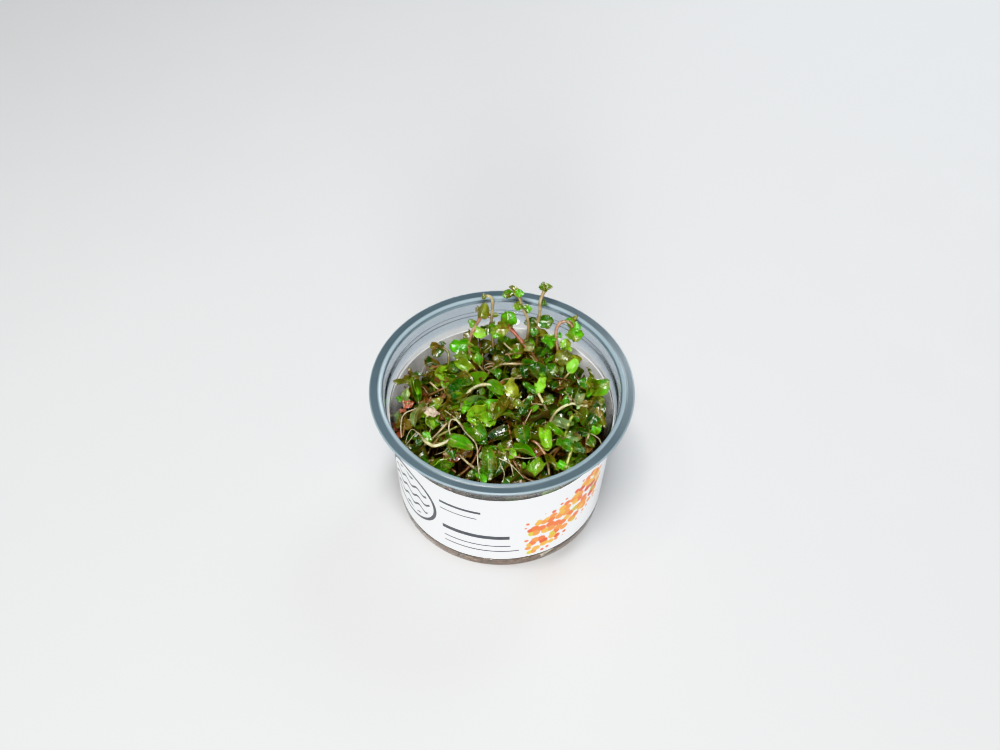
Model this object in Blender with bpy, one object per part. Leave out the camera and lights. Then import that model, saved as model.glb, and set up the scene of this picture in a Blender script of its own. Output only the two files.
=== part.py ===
"""Rotala plantlets in a clear 101 mm cup, modelled for Blender 4.5.

Every sub-part is its own object. Sizes and places are in millimetres and become metres where
a mesh is made. +Z is up, and the origin is the middle of the cup's base.
"""

import math
import random
from collections import namedtuple

import bmesh
import bpy
import numpy as np
from mathutils import Matrix, Vector
from mathutils.bvhtree import BVHTree

MM = 0.001

# Cup
FLANGE_RADIUS = 50.5
FLANGE_TOP = 60.2
BASE_RADIUS = 39.25
DRAFT = 0.0825
WALL = 0.9
FLOOR_RADIUS = 37.6
FLOOR_CORNER_HEIGHT = 2.6
FOOT_CHAMFER_IN = 1.1
FOOT_CHAMFER_UP = 1.3
STEP_BOTTOM = 48.8
STEP_TOP = 50.5
STEP_OUT = 1.2
UPPER_WALL_TOP = 58.6
UPPER_WALL_RADIUS = 45.9
BEAD_RADIUS = 48.1
BEAD_HEIGHT = 0.5
BEAD_FLARE = 0.9
RIM_EDGE = 0.5
LIP_DROP = 1.6
CUP_SEGMENTS = 36

# Label
LABEL_BOTTOM = 5.3
LABEL_TOP = 47.1
LABEL_GAP = 0.3
LABEL_THICKNESS = 0.25
LABEL_LAP_DEGREES = 14
LABEL_SEAM_DEGREES = 62
LABEL_SEGMENTS = 38

# Root mat
MAT_BOTTOM = 1.25
MAT_FOOT_RADIUS = 37.0
MAT_HEIGHT = 8.5
MAT_EDGE_HEIGHT = 5.5
MAT_SEGMENTS = 28
MAT_RINGS = (0.22, 0.45, 0.68, 0.88)
MAT_LUMP = 1.1
MAT_SEED = 5
MAT_WALL_GAP = 0.8

# Stems
STEM_SIDES = 5
ROOT_RADIUS = 0.4
ROOT_SIDES = 4
STEM_TAPER = 0.75
STEM_START_GAP = 0.35
STEM_UPRIGHT = 3.0
ABOVE_MAT = 30.0
CURVE_SAMPLES = 24
ROUTE_STEP = 2.0
CHORD_TOLERANCE = 0.55
STEM_CLEARANCE = 0.75
SETTLE_STEPS = 60
SETTLE_PUSH = 0.4
PINNED_POINTS = 2

# Leaves
CLEARANCE = 0.3
LEAF_THICKNESS = 0.75
LEAF_ROUGHNESS = 0.3
LEAF_SINK = 0.2
PETIOLE = 0.06
FIRST_LEAF_POINT = 3
FACE_HINT = (0, -0.35, 1)
STEEP = 0.2
LEAF_SIZES_TO_TRY = (1.0, 0.86, 0.72, 0.6)
LEAF_TURNS_TO_TRY = (0, 18, -18, 38, -38)

# Pairs of leaves low on the stems
PAIR_SPACING = 22.0
LOWEST_PAIR_HEIGHT = 37.0
LOWEST_PAIR_SCATTER = 3.0
LOW_LEAF_LENGTHS = (5.0, 7.5)
LOW_LEAF_WIDTH = 0.68
LOW_LEAF_RISES = (-0.1, 0.6)
LOW_LEAF_FORMS = ("flat", "cupped", "drooped")
LOW_LEAF_SEED = 23
BARE_UNDER_LEAVES = 5.0

# A leaf's arch along its length and the lift of its edges, both as shares of its length.
LEAF_FORMS = {
    "flat": (0.07, 0.05),
    "cupped": (0.05, 0.22),
    "drooped": (0.20, -0.10),
    "curled": (0.30, 0.18),
    "folded": (0.08, 0.34),
}
# The six corners of a leaf's edge, along it from its base and across it, as shares of its size.
LEAF_EDGE = ((0, 0), (0.3, 0.46), (0.72, 0.4), (1, 0), (0.72, -0.4), (0.3, -0.46))

Leaf = namedtuple("Leaf", "tip width form tone turn", defaults=(0,))
Shoot = namedtuple("Shoot", "name radius stem_tone foot route leaves roots", defaults=((),))

TONES = {
    "tan": (0.42, 0.30, 0.17),
    "cream": (0.60, 0.52, 0.33),
    "pink": (0.45, 0.22, 0.15),
    "bright": (0.06, 0.25, 0.01),
    "lime": (0.16, 0.38, 0.02),
    "mid": (0.035, 0.16, 0.01),
    "dark": (0.015, 0.075, 0.01),
    "olive": (0.13, 0.15, 0.02),
    "yellow": (0.30, 0.32, 0.05),
    "pale": (0.30, 0.42, 0.22),
    "rust": (0.12, 0.04, 0.02),
    "red": (0.35, 0.06, 0.06),
}

# The shoots seen in the cup, from the back to the front. Each has its stem's radius, the
# foot of the stem on the root mat, the points that the stem passes through, and for each
# leaf the place of its tip, its width, form and tone, and its turn towards the front.
SHOOTS = (
    Shoot(
        "shoot_back_tall", 0.75, "tan", (11, 29),
        ((12.5, 34, 30), (13.6, 36.6, 50), (13.6, 38, 54), (14.4, 39.2, 60), (14.5, 41, 65), (16, 42.6, 69)),
        (
            Leaf((15.6, 44.2, 72), 3.4, "folded", "mid", 30),
            Leaf((19, 43.4, 70.4), 3.2, "curled", "lime", 20),
            Leaf((17.4, 41.6, 63), 2.6, "drooped", "mid"),
            Leaf((20.2, 38.4, 56), 5.6, "flat", "mid", 30),
            Leaf((8.6, 38.6, 54.6), 4.4, "flat", "dark", 20),
        ),
    ),
    Shoot(
        "shoot_back_pair", 0.7, "tan", (6, 25),
        ((8, 31, 36), (10, 37.2, 56), (8.2, 39.2, 61), (7, 40.8, 62.6), (6.4, 42.2, 65), (4.2, 43, 66.6)),
        (
            Leaf((0.8, 44, 67.4), 3.6, "flat", "bright", 30),
            Leaf((1, 42, 65.2), 3.4, "cupped", "olive", 10),
            Leaf((4, 40.2, 61.8), 3.4, "curled", "bright", 20),
            Leaf((11.2, 40.8, 61.4), 3.8, "drooped", "bright", 10),
            Leaf((13.8, 36, 53), 4.2, "flat", "mid", 30),
        ),
    ),
    Shoot(
        "shoot_back_hook", 0.65, "tan", (-2, 24),
        ((-3, 31, 36), (-4.5, 38.6, 54), (-4.5, 39.6, 57), (-4.2, 41.8, 62.6), (-5, 42.6, 65), (-6.6, 42.8, 65.4)),
        (
            Leaf((-8.4, 42.8, 64.2), 2.2, "curled", "olive"),
            Leaf((-7.2, 39.6, 57), 2.4, "drooped", "rust"),
            Leaf((-1.6, 40, 57.6), 2.4, "drooped", "olive"),
            Leaf((0.6, 37.6, 52.6), 5.2, "folded", "bright", 25),
            Leaf((-9.4, 37, 51.6), 4.4, "cupped", "mid", 20),
        ),
    ),
    Shoot(
        "shoot_back_left", 0.75, "pink", (-13, 15),
        ((-12, 20, 34), (-12.4, 25, 45), (-13, 31, 51), (-11.6, 34.4, 54.4), (-9.6, 37, 57), (-9, 38.2, 58)),
        (
            Leaf((-7.2, 41.2, 62.6), 4.2, "folded", "olive", 20),
            Leaf((-13.6, 36.6, 57), 3.6, "flat", "mid", 30),
            Leaf((-20.6, 29.4, 50.8), 7.4, "cupped", "bright", 30),
            Leaf((-6.4, 33.4, 52.4), 4.2, "flat", "lime", 35),
            Leaf((-18.8, 26, 48.6), 3.8, "drooped", "bright", 20),
            Leaf((-9.2, 28.4, 48.4), 4.2, "folded", "bright", 20),
        ),
    ),
    Shoot(
        "shoot_back_red_stem", 0.85, "red", (17, 12),
        ((17.4, 17, 30), (14.6, 23.6, 45), (10.4, 27.6, 50.4), (7, 30.4, 53.4), (3.4, 33.6, 56), (2, 34.6, 57)),
        (
            Leaf((1.6, 38, 61.6), 6.4, "cupped", "bright", 10),
            Leaf((-2, 34, 57), 3.2, "drooped", "olive", 10),
            Leaf((-3.6, 31, 54.2), 5, "flat", "bright", 20),
            Leaf((8, 24.6, 46.6), 2.8, "folded", "yellow", 10),
            Leaf((10.6, 30.4, 52.4), 4, "cupped", "pale", 20),
        ),
    ),
    Shoot(
        "shoot_back_right_arch", 0.7, "pink", (25, 14),
        (
            (23.6, 19, 32), (22.6, 24.6, 48), (21.4, 28, 53), (20.8, 32, 57.4),
            (22.4, 33.6, 60.4), (25.6, 33.8, 60.8), (27.4, 32.4, 59.2),
        ),
        (
            Leaf((30.2, 31.8, 60.4), 4.4, "flat", "bright", 20),
            Leaf((28.2, 28.8, 54.8), 6.4, "folded", "bright"),
            Leaf((28.8, 34.6, 64), 1.8, "flat", "olive", 20),
            Leaf((15.2, 31.6, 52.6), 6.2, "folded", "bright", 30),
            Leaf((24.4, 26.6, 50.4), 3.2, "flat", "lime", 20),
        ),
    ),
    Shoot(
        "shoot_right_back", 0.7, "olive", (28, 10),
        ((27, 16, 32), (25.6, 21.6, 44), (25, 25.6, 50), (25.2, 27.6, 51.6)),
        (
            Leaf((24.2, 31.6, 53.8), 4.6, "flat", "lime", 10),
            Leaf((20, 23.6, 49.4), 5.4, "cupped", "olive", 25),
            Leaf((31, 23, 49.2), 6, "curled", "yellow", 25),
            Leaf((26.6, 19.6, 47), 4.4, "drooped", "dark"),
        ),
    ),
    Shoot(
        "shoot_right_wall", 0.65, "tan", (31, 2),
        ((33, 6, 32), (34.4, 9, 44), (35, 10.4, 50)),
        (
            Leaf((41.6, 9, 52.8), 7.2, "flat", "pale", 30),
            Leaf((33.6, 19, 51), 3.4, "cupped", "yellow", 20),
            Leaf((33, 5.6, 49.4), 3, "folded", "bright"),
            Leaf((29.2, 13.4, 49.6), 4.6, "flat", "mid", 30),
        ),
    ),
    Shoot(
        "shoot_right_cream_arch", 0.6, "cream", (13, -7),
        ((15, -7, 30), (18, -4.6, 43), (21.4, -0.8, 48), (27, 1.4, 50), (31, 0.6, 49.8), (34.4, 1.4, 49)),
        (
            Leaf((39.6, 3.8, 49), 5, "cupped", "olive", 30),
            Leaf((39.4, -6.4, 46), 3.6, "drooped", "olive", 20),
            Leaf((33, -7, 45.4), 6.4, "cupped", "dark"),
            Leaf((30, 7, 50), 3.6, "folded", "pale", 10),
            Leaf((23.6, 4.8, 48.6), 4.2, "flat", "mid", 30),
        ),
    ),
    Shoot(
        "shoot_right_green_stem", 0.7, "lime", (23, -12),
        ((23.6, -12, 30), (24.4, -10, 43), (25.6, -6.6, 46.6), (27.2, -3, 48)),
        (
            Leaf((19.4, -4, 46.6), 3.8, "folded", "pale", 20),
            Leaf((30.4, -12, 45.4), 4.4, "flat", "pale", 20),
            Leaf((21.2, -13.8, 44), 3.4, "cupped", "bright"),
            Leaf((31.6, -3.6, 47.4), 4, "flat", "mid", 20),
        ),
    ),
    Shoot(
        "shoot_right_front", 0.65, "tan", (31, -13),
        ((32, -12, 30), (33.4, -9, 43), (33.6, -8, 44)),
        (
            Leaf((38.6, -5.6, 45), 4.4, "cupped", "bright", 30),
            Leaf((36, -14, 43.6), 4, "drooped", "mid"),
            Leaf((29, -7.6, 45), 4.4, "flat", "dark", 20),
        ),
    ),
    Shoot(
        "shoot_front_right_stem", 0.65, "lime", (22, -24),
        ((23, -25, 30), (24.4, -24.4, 41.6), (26, -20.4, 45), (27, -17.4, 46.4)),
        (
            Leaf((23.2, -14.8, 47), 4.4, "folded", "mid", 20),
            Leaf((32, -17.2, 45.6), 5, "flat", "dark", 20),
            Leaf((21.6, -21.6, 43), 2.8, "folded", "bright", 20),
            Leaf((29, -25, 41), 4.2, "drooped", "mid"),
        ),
    ),
    Shoot(
        "shoot_front_lime_leaf", 0.6, "tan", (14, -20),
        ((15, -16, 30), (16.2, -11.4, 44), (16.6, -10.2, 46.6)),
        (
            Leaf((18.2, -16.8, 44), 4.6, "flat", "lime"),
            Leaf((13, -7.4, 47.4), 3.8, "cupped", "olive", 10),
            Leaf((20.4, -8, 47), 3, "drooped", "mid", 10),
        ),
    ),
    Shoot(
        "shoot_front_tan_stem", 0.6, "pink", (7, -23),
        ((8, -17, 30), (9.6, -12.6, 43.6), (13, -13.8, 45), (17, -18, 42.8)),
        (
            Leaf((21, -23, 41), 2.8, "folded", "olive", 10),
            Leaf((12.4, -19, 43), 3.6, "flat", "rust"),
            Leaf((6, -10.6, 44), 3.4, "flat", "mid", 20),
        ),
    ),
    Shoot(
        "shoot_middle_front", 0.6, "tan", (5, -10),
        ((5, -7, 30), (5.6, -4.6, 45), (6.4, -3.4, 48)),
        (
            Leaf((9.6, -14.6, 46), 6.2, "cupped", "mid"),
            Leaf((-0.4, -3, 48.2), 2.4, "folded", "bright", 10),
            Leaf((1, -13.6, 45), 4.2, "flat", "dark"),
            Leaf((11.4, 2.2, 49.6), 3.6, "drooped", "dark"),
        ),
    ),
    Shoot(
        "shoot_front_lying", 0.6, "pink", (-9, -20),
        ((-8, -20, 30), (-4.6, -18.8, 42), (0, -17.6, 44.4), (5, -17, 45)),
        (
            Leaf((13, -20.4, 44.4), 2.8, "folded", "bright", 10),
            Leaf((9, -14.9, 42.4), 2.8, "flat", "pale", 10),
            Leaf((-5.4, -23.4, 41.4), 4.2, "flat", "pale"),
            Leaf((2.4, -24.6, 41.6), 3.6, "drooped", "mid"),
        ),
        (((4, -17, 44.6), (1.4, -19.4, 44.8), (3.6, -22.6, 43.4), (5.2, -26.4, 38)),),
    ),
    Shoot(
        "shoot_front_low", 0.6, "tan", (10, -28),
        ((9, -25, 26), (7.6, -20, 39)),
        (
            Leaf((5.4, -27.6, 38.6), 6.4, "flat", "dark"),
            Leaf((13.6, -25.4, 38.6), 3.2, "folded", "dark"),
            Leaf((2.6, -18.6, 39.4), 3.4, "flat", "mid"),
        ),
    ),
    Shoot(
        "shoot_front_edge", 0.55, "cream", (-8, -28),
        ((-9, -26, 28), (-8, -24, 41.4)),
        (
            Leaf((-5.6, -30.6, 40.6), 3.8, "flat", "bright"),
            Leaf((-12.6, -27.6, 40), 4.2, "drooped", "dark"),
            Leaf((-3, -26, 42), 3, "cupped", "mid"),
        ),
    ),
    Shoot(
        "shoot_left_u_stem", 0.7, "cream", (-31, -4),
        (
            (-31.4, -6, 30), (-30.6, -10, 42.6), (-28.8, -14, 44.4),
            (-25.4, -16, 44.4), (-21.6, -15.4, 45.6), (-18.8, -14, 46.4),
        ),
        (
            Leaf((-10.6, -18, 46.2), 6.6, "folded", "bright"),
            Leaf((-17, -21, 43), 4, "drooped", "dark"),
            Leaf((-26.6, -11.8, 45.6), 5, "cupped", "bright", 10),
            Leaf((-33, -14.4, 42.6), 4, "flat", "olive"),
        ),
        (
            (
                (-18.8, -14, 46.6), (-20, -10, 48.6), (-18.6, -7, 50), (-16.8, -8, 49.6),
                (-13.4, -12.6, 48.4), (-9.4, -18, 48.2), (-8.6, -24, 44), (-7.8, -30.4, 43.4),
            ),
        ),
    ),
    Shoot(
        "shoot_left_glossy", 0.65, "tan", (-26, 5),
        ((-27, 3, 30), (-28.6, 0.6, 44), (-28.8, -1, 48.4)),
        (
            Leaf((-26.4, -9.8, 47.4), 6.6, "cupped", "pale"),
            Leaf((-33.6, -8.4, 46.4), 3.6, "folded", "pale"),
            Leaf((-30.4, 3.8, 49.2), 3.6, "drooped", "rust", 10),
            Leaf((-23.6, 3.6, 49.2), 4.6, "flat", "lime", 20),
        ),
        (((-29, 0, 48.6), (-34, -1.6, 48.2), (-37.4, -3.4, 47.6), (-38.4, -8, 46), (-38, -12, 44)),),
    ),
    Shoot(
        "shoot_left_far", 0.65, "olive", (-32, 5),
        ((-33.4, 8, 30), (-35, 11.6, 47), (-35.2, 12.8, 50.6)),
        (
            Leaf((-42, 8.6, 52.4), 3.6, "flat", "dark", 30),
            Leaf((-32.4, 5, 49.8), 3.8, "folded", "bright"),
            Leaf((-29.6, 15.6, 49.8), 3.6, "flat", "dark", 20),
        ),
    ),
    Shoot(
        "shoot_left_pink", 0.6, "pink", (-35, -3),
        ((-36.4, 0, 30), (-37.6, 3.4, 44), (-38, 4.8, 46.4)),
        (
            Leaf((-33.8, 3.4, 46.8), 3, "flat", "red", 20),
            Leaf((-41, 5.8, 46.8), 3, "cupped", "bright", 20),
            Leaf((-36.2, 9, 48.6), 3.2, "flat", "pale", 10),
            Leaf((-39.4, 0.4, 44), 2.4, "drooped", "red"),
        ),
    ),
    Shoot(
        "shoot_left_wall", 0.6, "tan", (-34, -10),
        ((-37, -7, 30), (-38.4, -3.6, 41.6)),
        (
            Leaf((-40.6, 2.4, 42.6), 3.8, "flat", "pale", 20),
            Leaf((-39, -9.6, 41), 3.4, "flat", "red"),
            Leaf((-34, -5.6, 43.4), 3.8, "cupped", "olive", 10),
        ),
    ),
    Shoot(
        "shoot_left_big_leaf", 0.7, "tan", (-18, 5),
        ((-18.4, 7, 30), (-17, 10, 45), (-16.6, 11.8, 50)),
        (
            Leaf((-20.6, 3.6, 49.4), 6.8, "cupped", "dark"),
            Leaf((-11.2, 11, 51.4), 6, "folded", "mid", 30),
            Leaf((-22.4, 14.4, 49.8), 4.4, "flat", "mid", 20),
        ),
    ),
    Shoot(
        "shoot_middle_arch", 0.75, "cream", (-16, -5),
        ((-16.4, -2, 30), (-15.6, 1, 45.6), (-14, 3.6, 50.4), (-10, 6.8, 52.6), (-5.4, 7.8, 52.8), (-2, 7, 52)),
        (
            Leaf((-0.4, 1.2, 51.6), 3.8, "folded", "bright"),
            Leaf((1, 9.8, 53), 2.8, "cupped", "red", 10),
            Leaf((-5, 3, 50.6), 2.6, "folded", "bright", 30),
            Leaf((-12, 0, 49.8), 3.8, "cupped", "pale", 10),
        ),
    ),
    Shoot(
        "shoot_middle_lime", 0.65, "lime", (-4, -9),
        ((-4, -7.4, 30), (-4.4, -4, 45.6), (-4.8, -2.6, 50)),
        (
            Leaf((-13, -6.6, 50.2), 8.2, "cupped", "lime", 35),
            Leaf((-5.6, -9.2, 48.2), 5.6, "flat", "lime"),
            Leaf((-0.2, -1, 50.4), 4.4, "drooped", "olive", 10),
        ),
    ),
    Shoot(
        "shoot_middle_yellow", 0.65, "olive", (2, -1),
        ((1.6, -2, 30), (2.4, -1.4, 46), (3.8, 1, 50), (5, 3, 51.6)),
        (
            Leaf((3.4, 9.6, 54.2), 5.6, "curled", "yellow"),
            Leaf((-0.6, 0.6, 52), 4.6, "cupped", "olive", 20),
            Leaf((8.4, -1.4, 50.4), 3.8, "drooped", "olive", 40),
        ),
    ),
    Shoot(
        "shoot_middle_right", 0.6, "cream", (20, -3),
        ((19.4, -1, 30), (17.4, 1, 46), (14, 6, 50.4)),
        (
            Leaf((16.4, 12.6, 52.8), 4, "flat", "lime", -10),
            Leaf((8.2, 9.4, 51.6), 3.8, "flat", "mid", 20),
            Leaf((20.4, 5.6, 48.8), 3.6, "flat", "mid", 20),
        ),
    ),
    Shoot(
        "shoot_middle_back", 0.55, "tan", (-6, 11),
        ((-6.6, 14, 30), (-6, 18.6, 45), (-1, 20.6, 49.6), (4, 20.8, 50.2), (8, 21, 50)),
        (
            Leaf((13.2, 20.8, 50), 4.8, "cupped", "mid", 30),
            Leaf((9.4, 15.4, 48.8), 3.8, "flat", "dark"),
            Leaf((-2, 26, 50), 4.2, "flat", "olive"),
            Leaf((-1, 14.6, 48.6), 4, "drooped", "mid"),
        ),
    ),
    Shoot(
        "shoot_left_back", 0.6, "olive", (-22, 12),
        ((-22.4, 15, 30), (-21.6, 20, 45), (-21, 22.6, 48.6), (-21.4, 26, 50.6), (-24.4, 28.6, 51)),
        (
            Leaf((-26.2, 17.6, 47), 6, "cupped", "lime", 20),
            Leaf((-17.4, 19.6, 47.6), 3.8, "flat", "mid", 10),
            Leaf((-27, 24.4, 49), 4.4, "flat", "dark", 20),
            Leaf((-28.6, 29.4, 50), 2.4, "folded", "olive", 10),
        ),
    ),
    Shoot(
        "shoot_left_inner", 0.6, "tan", (-28, 9),
        ((-28.4, 10, 28), (-27.6, 11.6, 42)),
        (
            Leaf((-32.4, 16, 43.6), 5, "flat", "dark"),
            Leaf((-23, 11, 44), 5, "flat", "dark"),
            Leaf((-29.4, 5.4, 43), 4.4, "drooped", "rust"),
        ),
    ),
    Shoot(
        "shoot_right_inner", 0.65, "rust", (22, 3),
        ((22.4, 6, 28), (23, 12, 44), (22, 18, 48)),
        (
            Leaf((19.2, 11, 47.4), 3.6, "folded", "dark"),
            Leaf((27.8, 10, 46.6), 4.4, "flat", "mid", 20),
            Leaf((17, 21.6, 48.6), 4, "flat", "mid", 20),
            Leaf((23.8, 24, 49), 3.6, "cupped", "dark"),
        ),
    ),
    Shoot(
        "shoot_left_middle", 0.65, "tan", (-21, -6),
        ((-21.6, -5, 28), (-21.4, -3, 42), (-20.4, -2.4, 45)),
        (
            Leaf((-25.6, -0.8, 46.4), 4.2, "flat", "rust", 10),
            Leaf((-16.4, -2, 46.8), 4.2, "flat", "olive", 20),
            Leaf((-19.8, 1.8, 47.2), 3.6, "cupped", "mid"),
        ),
    ),
    Shoot(
        "shoot_left_front", 0.6, "rust", (-25, -22),
        ((-26, -20.6, 26), (-27, -18, 36.6)),
        (
            Leaf((-31, -20.4, 38.4), 4.4, "flat", "mid"),
            Leaf((-22.6, -20.4, 38), 4.4, "flat", "rust"),
            Leaf((-27.4, -24.6, 36.6), 4, "drooped", "dark"),
        ),
    ),
    Shoot(
        "shoot_middle_dark", 0.6, "tan", (-12, -14),
        ((-12, -12.6, 28), (-10.8, -10.2, 42.6), (-10.2, -9.6, 44.4)),
        (
            Leaf((-14.6, -9.4, 45.2), 4.4, "flat", "mid"),
            Leaf((-5.4, -14.4, 44.4), 5.2, "flat", "dark"),
            Leaf((-11.6, -15.4, 42.4), 4.4, "drooped", "dark"),
        ),
    ),
    Shoot(
        "shoot_front_left", 0.6, "pink", (-18, -26),
        ((-18.6, -25, 26), (-19, -24, 35)),
        (
            Leaf((-14.8, -27, 36.6), 4.4, "flat", "mid"),
            Leaf((-23.4, -26.6, 36), 4.2, "flat", "dark"),
            Leaf((-18.6, -29.4, 35.4), 3.8, "drooped", "rust"),
        ),
    ),
    Shoot(
        "shoot_left_front_wall", 0.6, "tan", (-31, -15),
        ((-33, -14.6, 26), (-34, -14, 37)),
        (
            Leaf((-37.4, -10.6, 38.4), 4.2, "flat", "olive"),
            Leaf((-32.8, -19.4, 38), 4.2, "flat", "mid"),
            Leaf((-30, -12, 38.6), 3.6, "cupped", "dark"),
        ),
    ),
    Shoot(
        "shoot_front_right", 0.6, "tan", (16, -30),
        ((16.6, -28, 26), (17, -26.4, 36.6)),
        (
            Leaf((20.8, -29, 37), 4.2, "flat", "dark"),
            Leaf((13, -29.6, 37), 4, "flat", "mid"),
            Leaf((17.4, -22.4, 38), 3.8, "cupped", "dark"),
        ),
    ),
    Shoot(
        "shoot_right_deep", 0.6, "rust", (33, 10),
        ((35, 13, 28), (35.4, 16, 41)),
        (
            Leaf((38.4, 11.6, 42.4), 4, "flat", "mid"),
            Leaf((31.4, 18.4, 43), 4, "flat", "dark"),
            Leaf((34.6, 20.6, 42.6), 3.6, "cupped", "olive"),
        ),
    ),
    Shoot(
        "shoot_back_deep", 0.6, "rust", (0, 31),
        ((0, 32, 28), (-1, 33, 42)),
        (
            Leaf((-5.6, 32.6, 44), 4.4, "flat", "dark"),
            Leaf((3.8, 32.6, 44), 4.4, "flat", "mid"),
            Leaf((-1, 28.4, 44.4), 4, "cupped", "dark"),
        ),
    ),
)


def finish(name, color, roughness, alpha=1.0):
    """A Principled material with this colour, roughness and alpha."""
    material = bpy.data.materials.new(name)
    material.use_nodes = True
    shader = material.node_tree.nodes["Principled BSDF"]
    shader.inputs["Base Color"].default_value = (*color, 1)
    shader.inputs["Roughness"].default_value = roughness
    shader.inputs["Metallic"].default_value = 0
    shader.inputs["Alpha"].default_value = alpha
    return material


def mesh_object(name, points, faces, materials, slots=None):
    """An object of these points in millimetres, with its faces turned outwards."""
    mesh = bpy.data.meshes.new(name)
    mesh.from_pydata([Vector(point) * MM for point in points], [], faces)
    for material in materials:
        mesh.materials.append(material)
    if slots:
        mesh.polygons.foreach_set("material_index", slots)
    shell = bmesh.new()
    shell.from_mesh(mesh)
    bmesh.ops.recalc_face_normals(shell, faces=shell.faces)
    shell.to_mesh(mesh)
    shell.free()
    thing = bpy.data.objects.new(name, mesh)
    bpy.context.scene.collection.objects.link(thing)
    return thing


def wall_radius(z):
    """The outer radius of the cup's wall at this height."""
    if z <= STEP_BOTTOM:
        return BASE_RADIUS + DRAFT * z
    if z <= STEP_TOP:
        return wall_radius(STEP_BOTTOM) + STEP_OUT * (z - STEP_BOTTOM) / (STEP_TOP - STEP_BOTTOM)
    climb = (z - STEP_TOP) / (UPPER_WALL_TOP - STEP_TOP)
    low = wall_radius(STEP_TOP)
    return low + (UPPER_WALL_RADIUS - low) * climb


def room_radius(z):
    """How far from the axis a plant may reach at this height."""
    if z > FLANGE_TOP + BEAD_HEIGHT + CLEARANCE:
        return FLANGE_RADIUS - 1
    return wall_radius(min(z, UPPER_WALL_TOP)) - WALL - CLEARANCE


def cup_profile():
    """The cup's half section: along the floor, up the inside, over the rim and down the outside."""
    lip_inner = FLANGE_RADIUS - WALL
    inside = [(0, WALL), (FLOOR_RADIUS, WALL)]
    inside += [(wall_radius(FLOOR_CORNER_HEIGHT) - WALL, FLOOR_CORNER_HEIGHT)]
    inside += [(wall_radius(z) - WALL, z + WALL / 2) for z in (STEP_BOTTOM, STEP_TOP)]
    inside += [(UPPER_WALL_RADIUS - WALL, FLANGE_TOP - RIM_EDGE)]
    inside += [(UPPER_WALL_RADIUS - WALL / 3, FLANGE_TOP)]
    rim = [
        (BEAD_RADIUS - BEAD_FLARE, FLANGE_TOP),
        (BEAD_RADIUS, FLANGE_TOP + BEAD_HEIGHT),
        (BEAD_RADIUS + BEAD_FLARE, FLANGE_TOP),
        (FLANGE_RADIUS - RIM_EDGE, FLANGE_TOP),
        (FLANGE_RADIUS, FLANGE_TOP - RIM_EDGE),
        (FLANGE_RADIUS, FLANGE_TOP - LIP_DROP),
        (lip_inner, FLANGE_TOP - LIP_DROP),
        (lip_inner, FLANGE_TOP - WALL),
    ]
    outside = [(UPPER_WALL_RADIUS + RIM_EDGE, FLANGE_TOP - WALL), (UPPER_WALL_RADIUS, UPPER_WALL_TOP)]
    outside += [(wall_radius(z), z) for z in (STEP_TOP, STEP_BOTTOM, FOOT_CHAMFER_UP)]
    outside += [(BASE_RADIUS - FOOT_CHAMFER_IN, 0), (0, 0)]
    return inside + rim + outside


def make_cup():
    profile = [Vector((radius, 0, z)) * MM for radius, z in cup_profile()]
    mesh = bpy.data.meshes.new("cup")
    mesh.from_pydata(profile, [(i, i + 1) for i in range(len(profile) - 1)], [])
    cup = bpy.data.objects.new("cup", mesh)
    bpy.context.scene.collection.objects.link(cup)
    turn = cup.modifiers.new("Turn", "SCREW")
    turn.steps = turn.render_steps = CUP_SEGMENTS
    turn.use_merge_vertices = True
    turn.merge_threshold = 0.00001
    turn.use_smooth_shade = True
    mesh.materials.append(finish("clear_plastic", (0.80, 0.86, 0.90), 0.12, 0.35))


def make_label():
    """One sheet wound round the wall, its last few degrees lapped over its start."""
    sweep = math.radians(360 + LABEL_LAP_DEGREES)
    start = math.radians(LABEL_SEAM_DEGREES)
    lap = math.radians(LABEL_LAP_DEGREES)
    points = []
    for i in range(LABEL_SEGMENTS + 1):
        along = sweep * i / LABEL_SEGMENTS
        over = min(max((along - sweep + 2 * lap) / lap, 0), 1)
        lift = LABEL_GAP + over * (LABEL_THICKNESS + LABEL_GAP)
        for z in (LABEL_BOTTOM, LABEL_TOP):
            for thickness in (0, LABEL_THICKNESS):
                radius = wall_radius(z) + lift + thickness
                points.append((radius * math.cos(start + along), radius * math.sin(start + along), z))
    faces = [(0, 1, 3, 2), tuple(4 * LABEL_SEGMENTS + corner for corner in (0, 2, 3, 1))]
    for i in range(LABEL_SEGMENTS):
        for a, b in ((0, 1), (1, 3), (3, 2), (2, 0)):
            faces.append((4 * i + a, 4 * i + 4 + a, 4 * i + 4 + b, 4 * i + b))
    mesh_object("label", points, faces, [finish("white_paper", (0.88, 0.91, 0.93), 0.45)])


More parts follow.
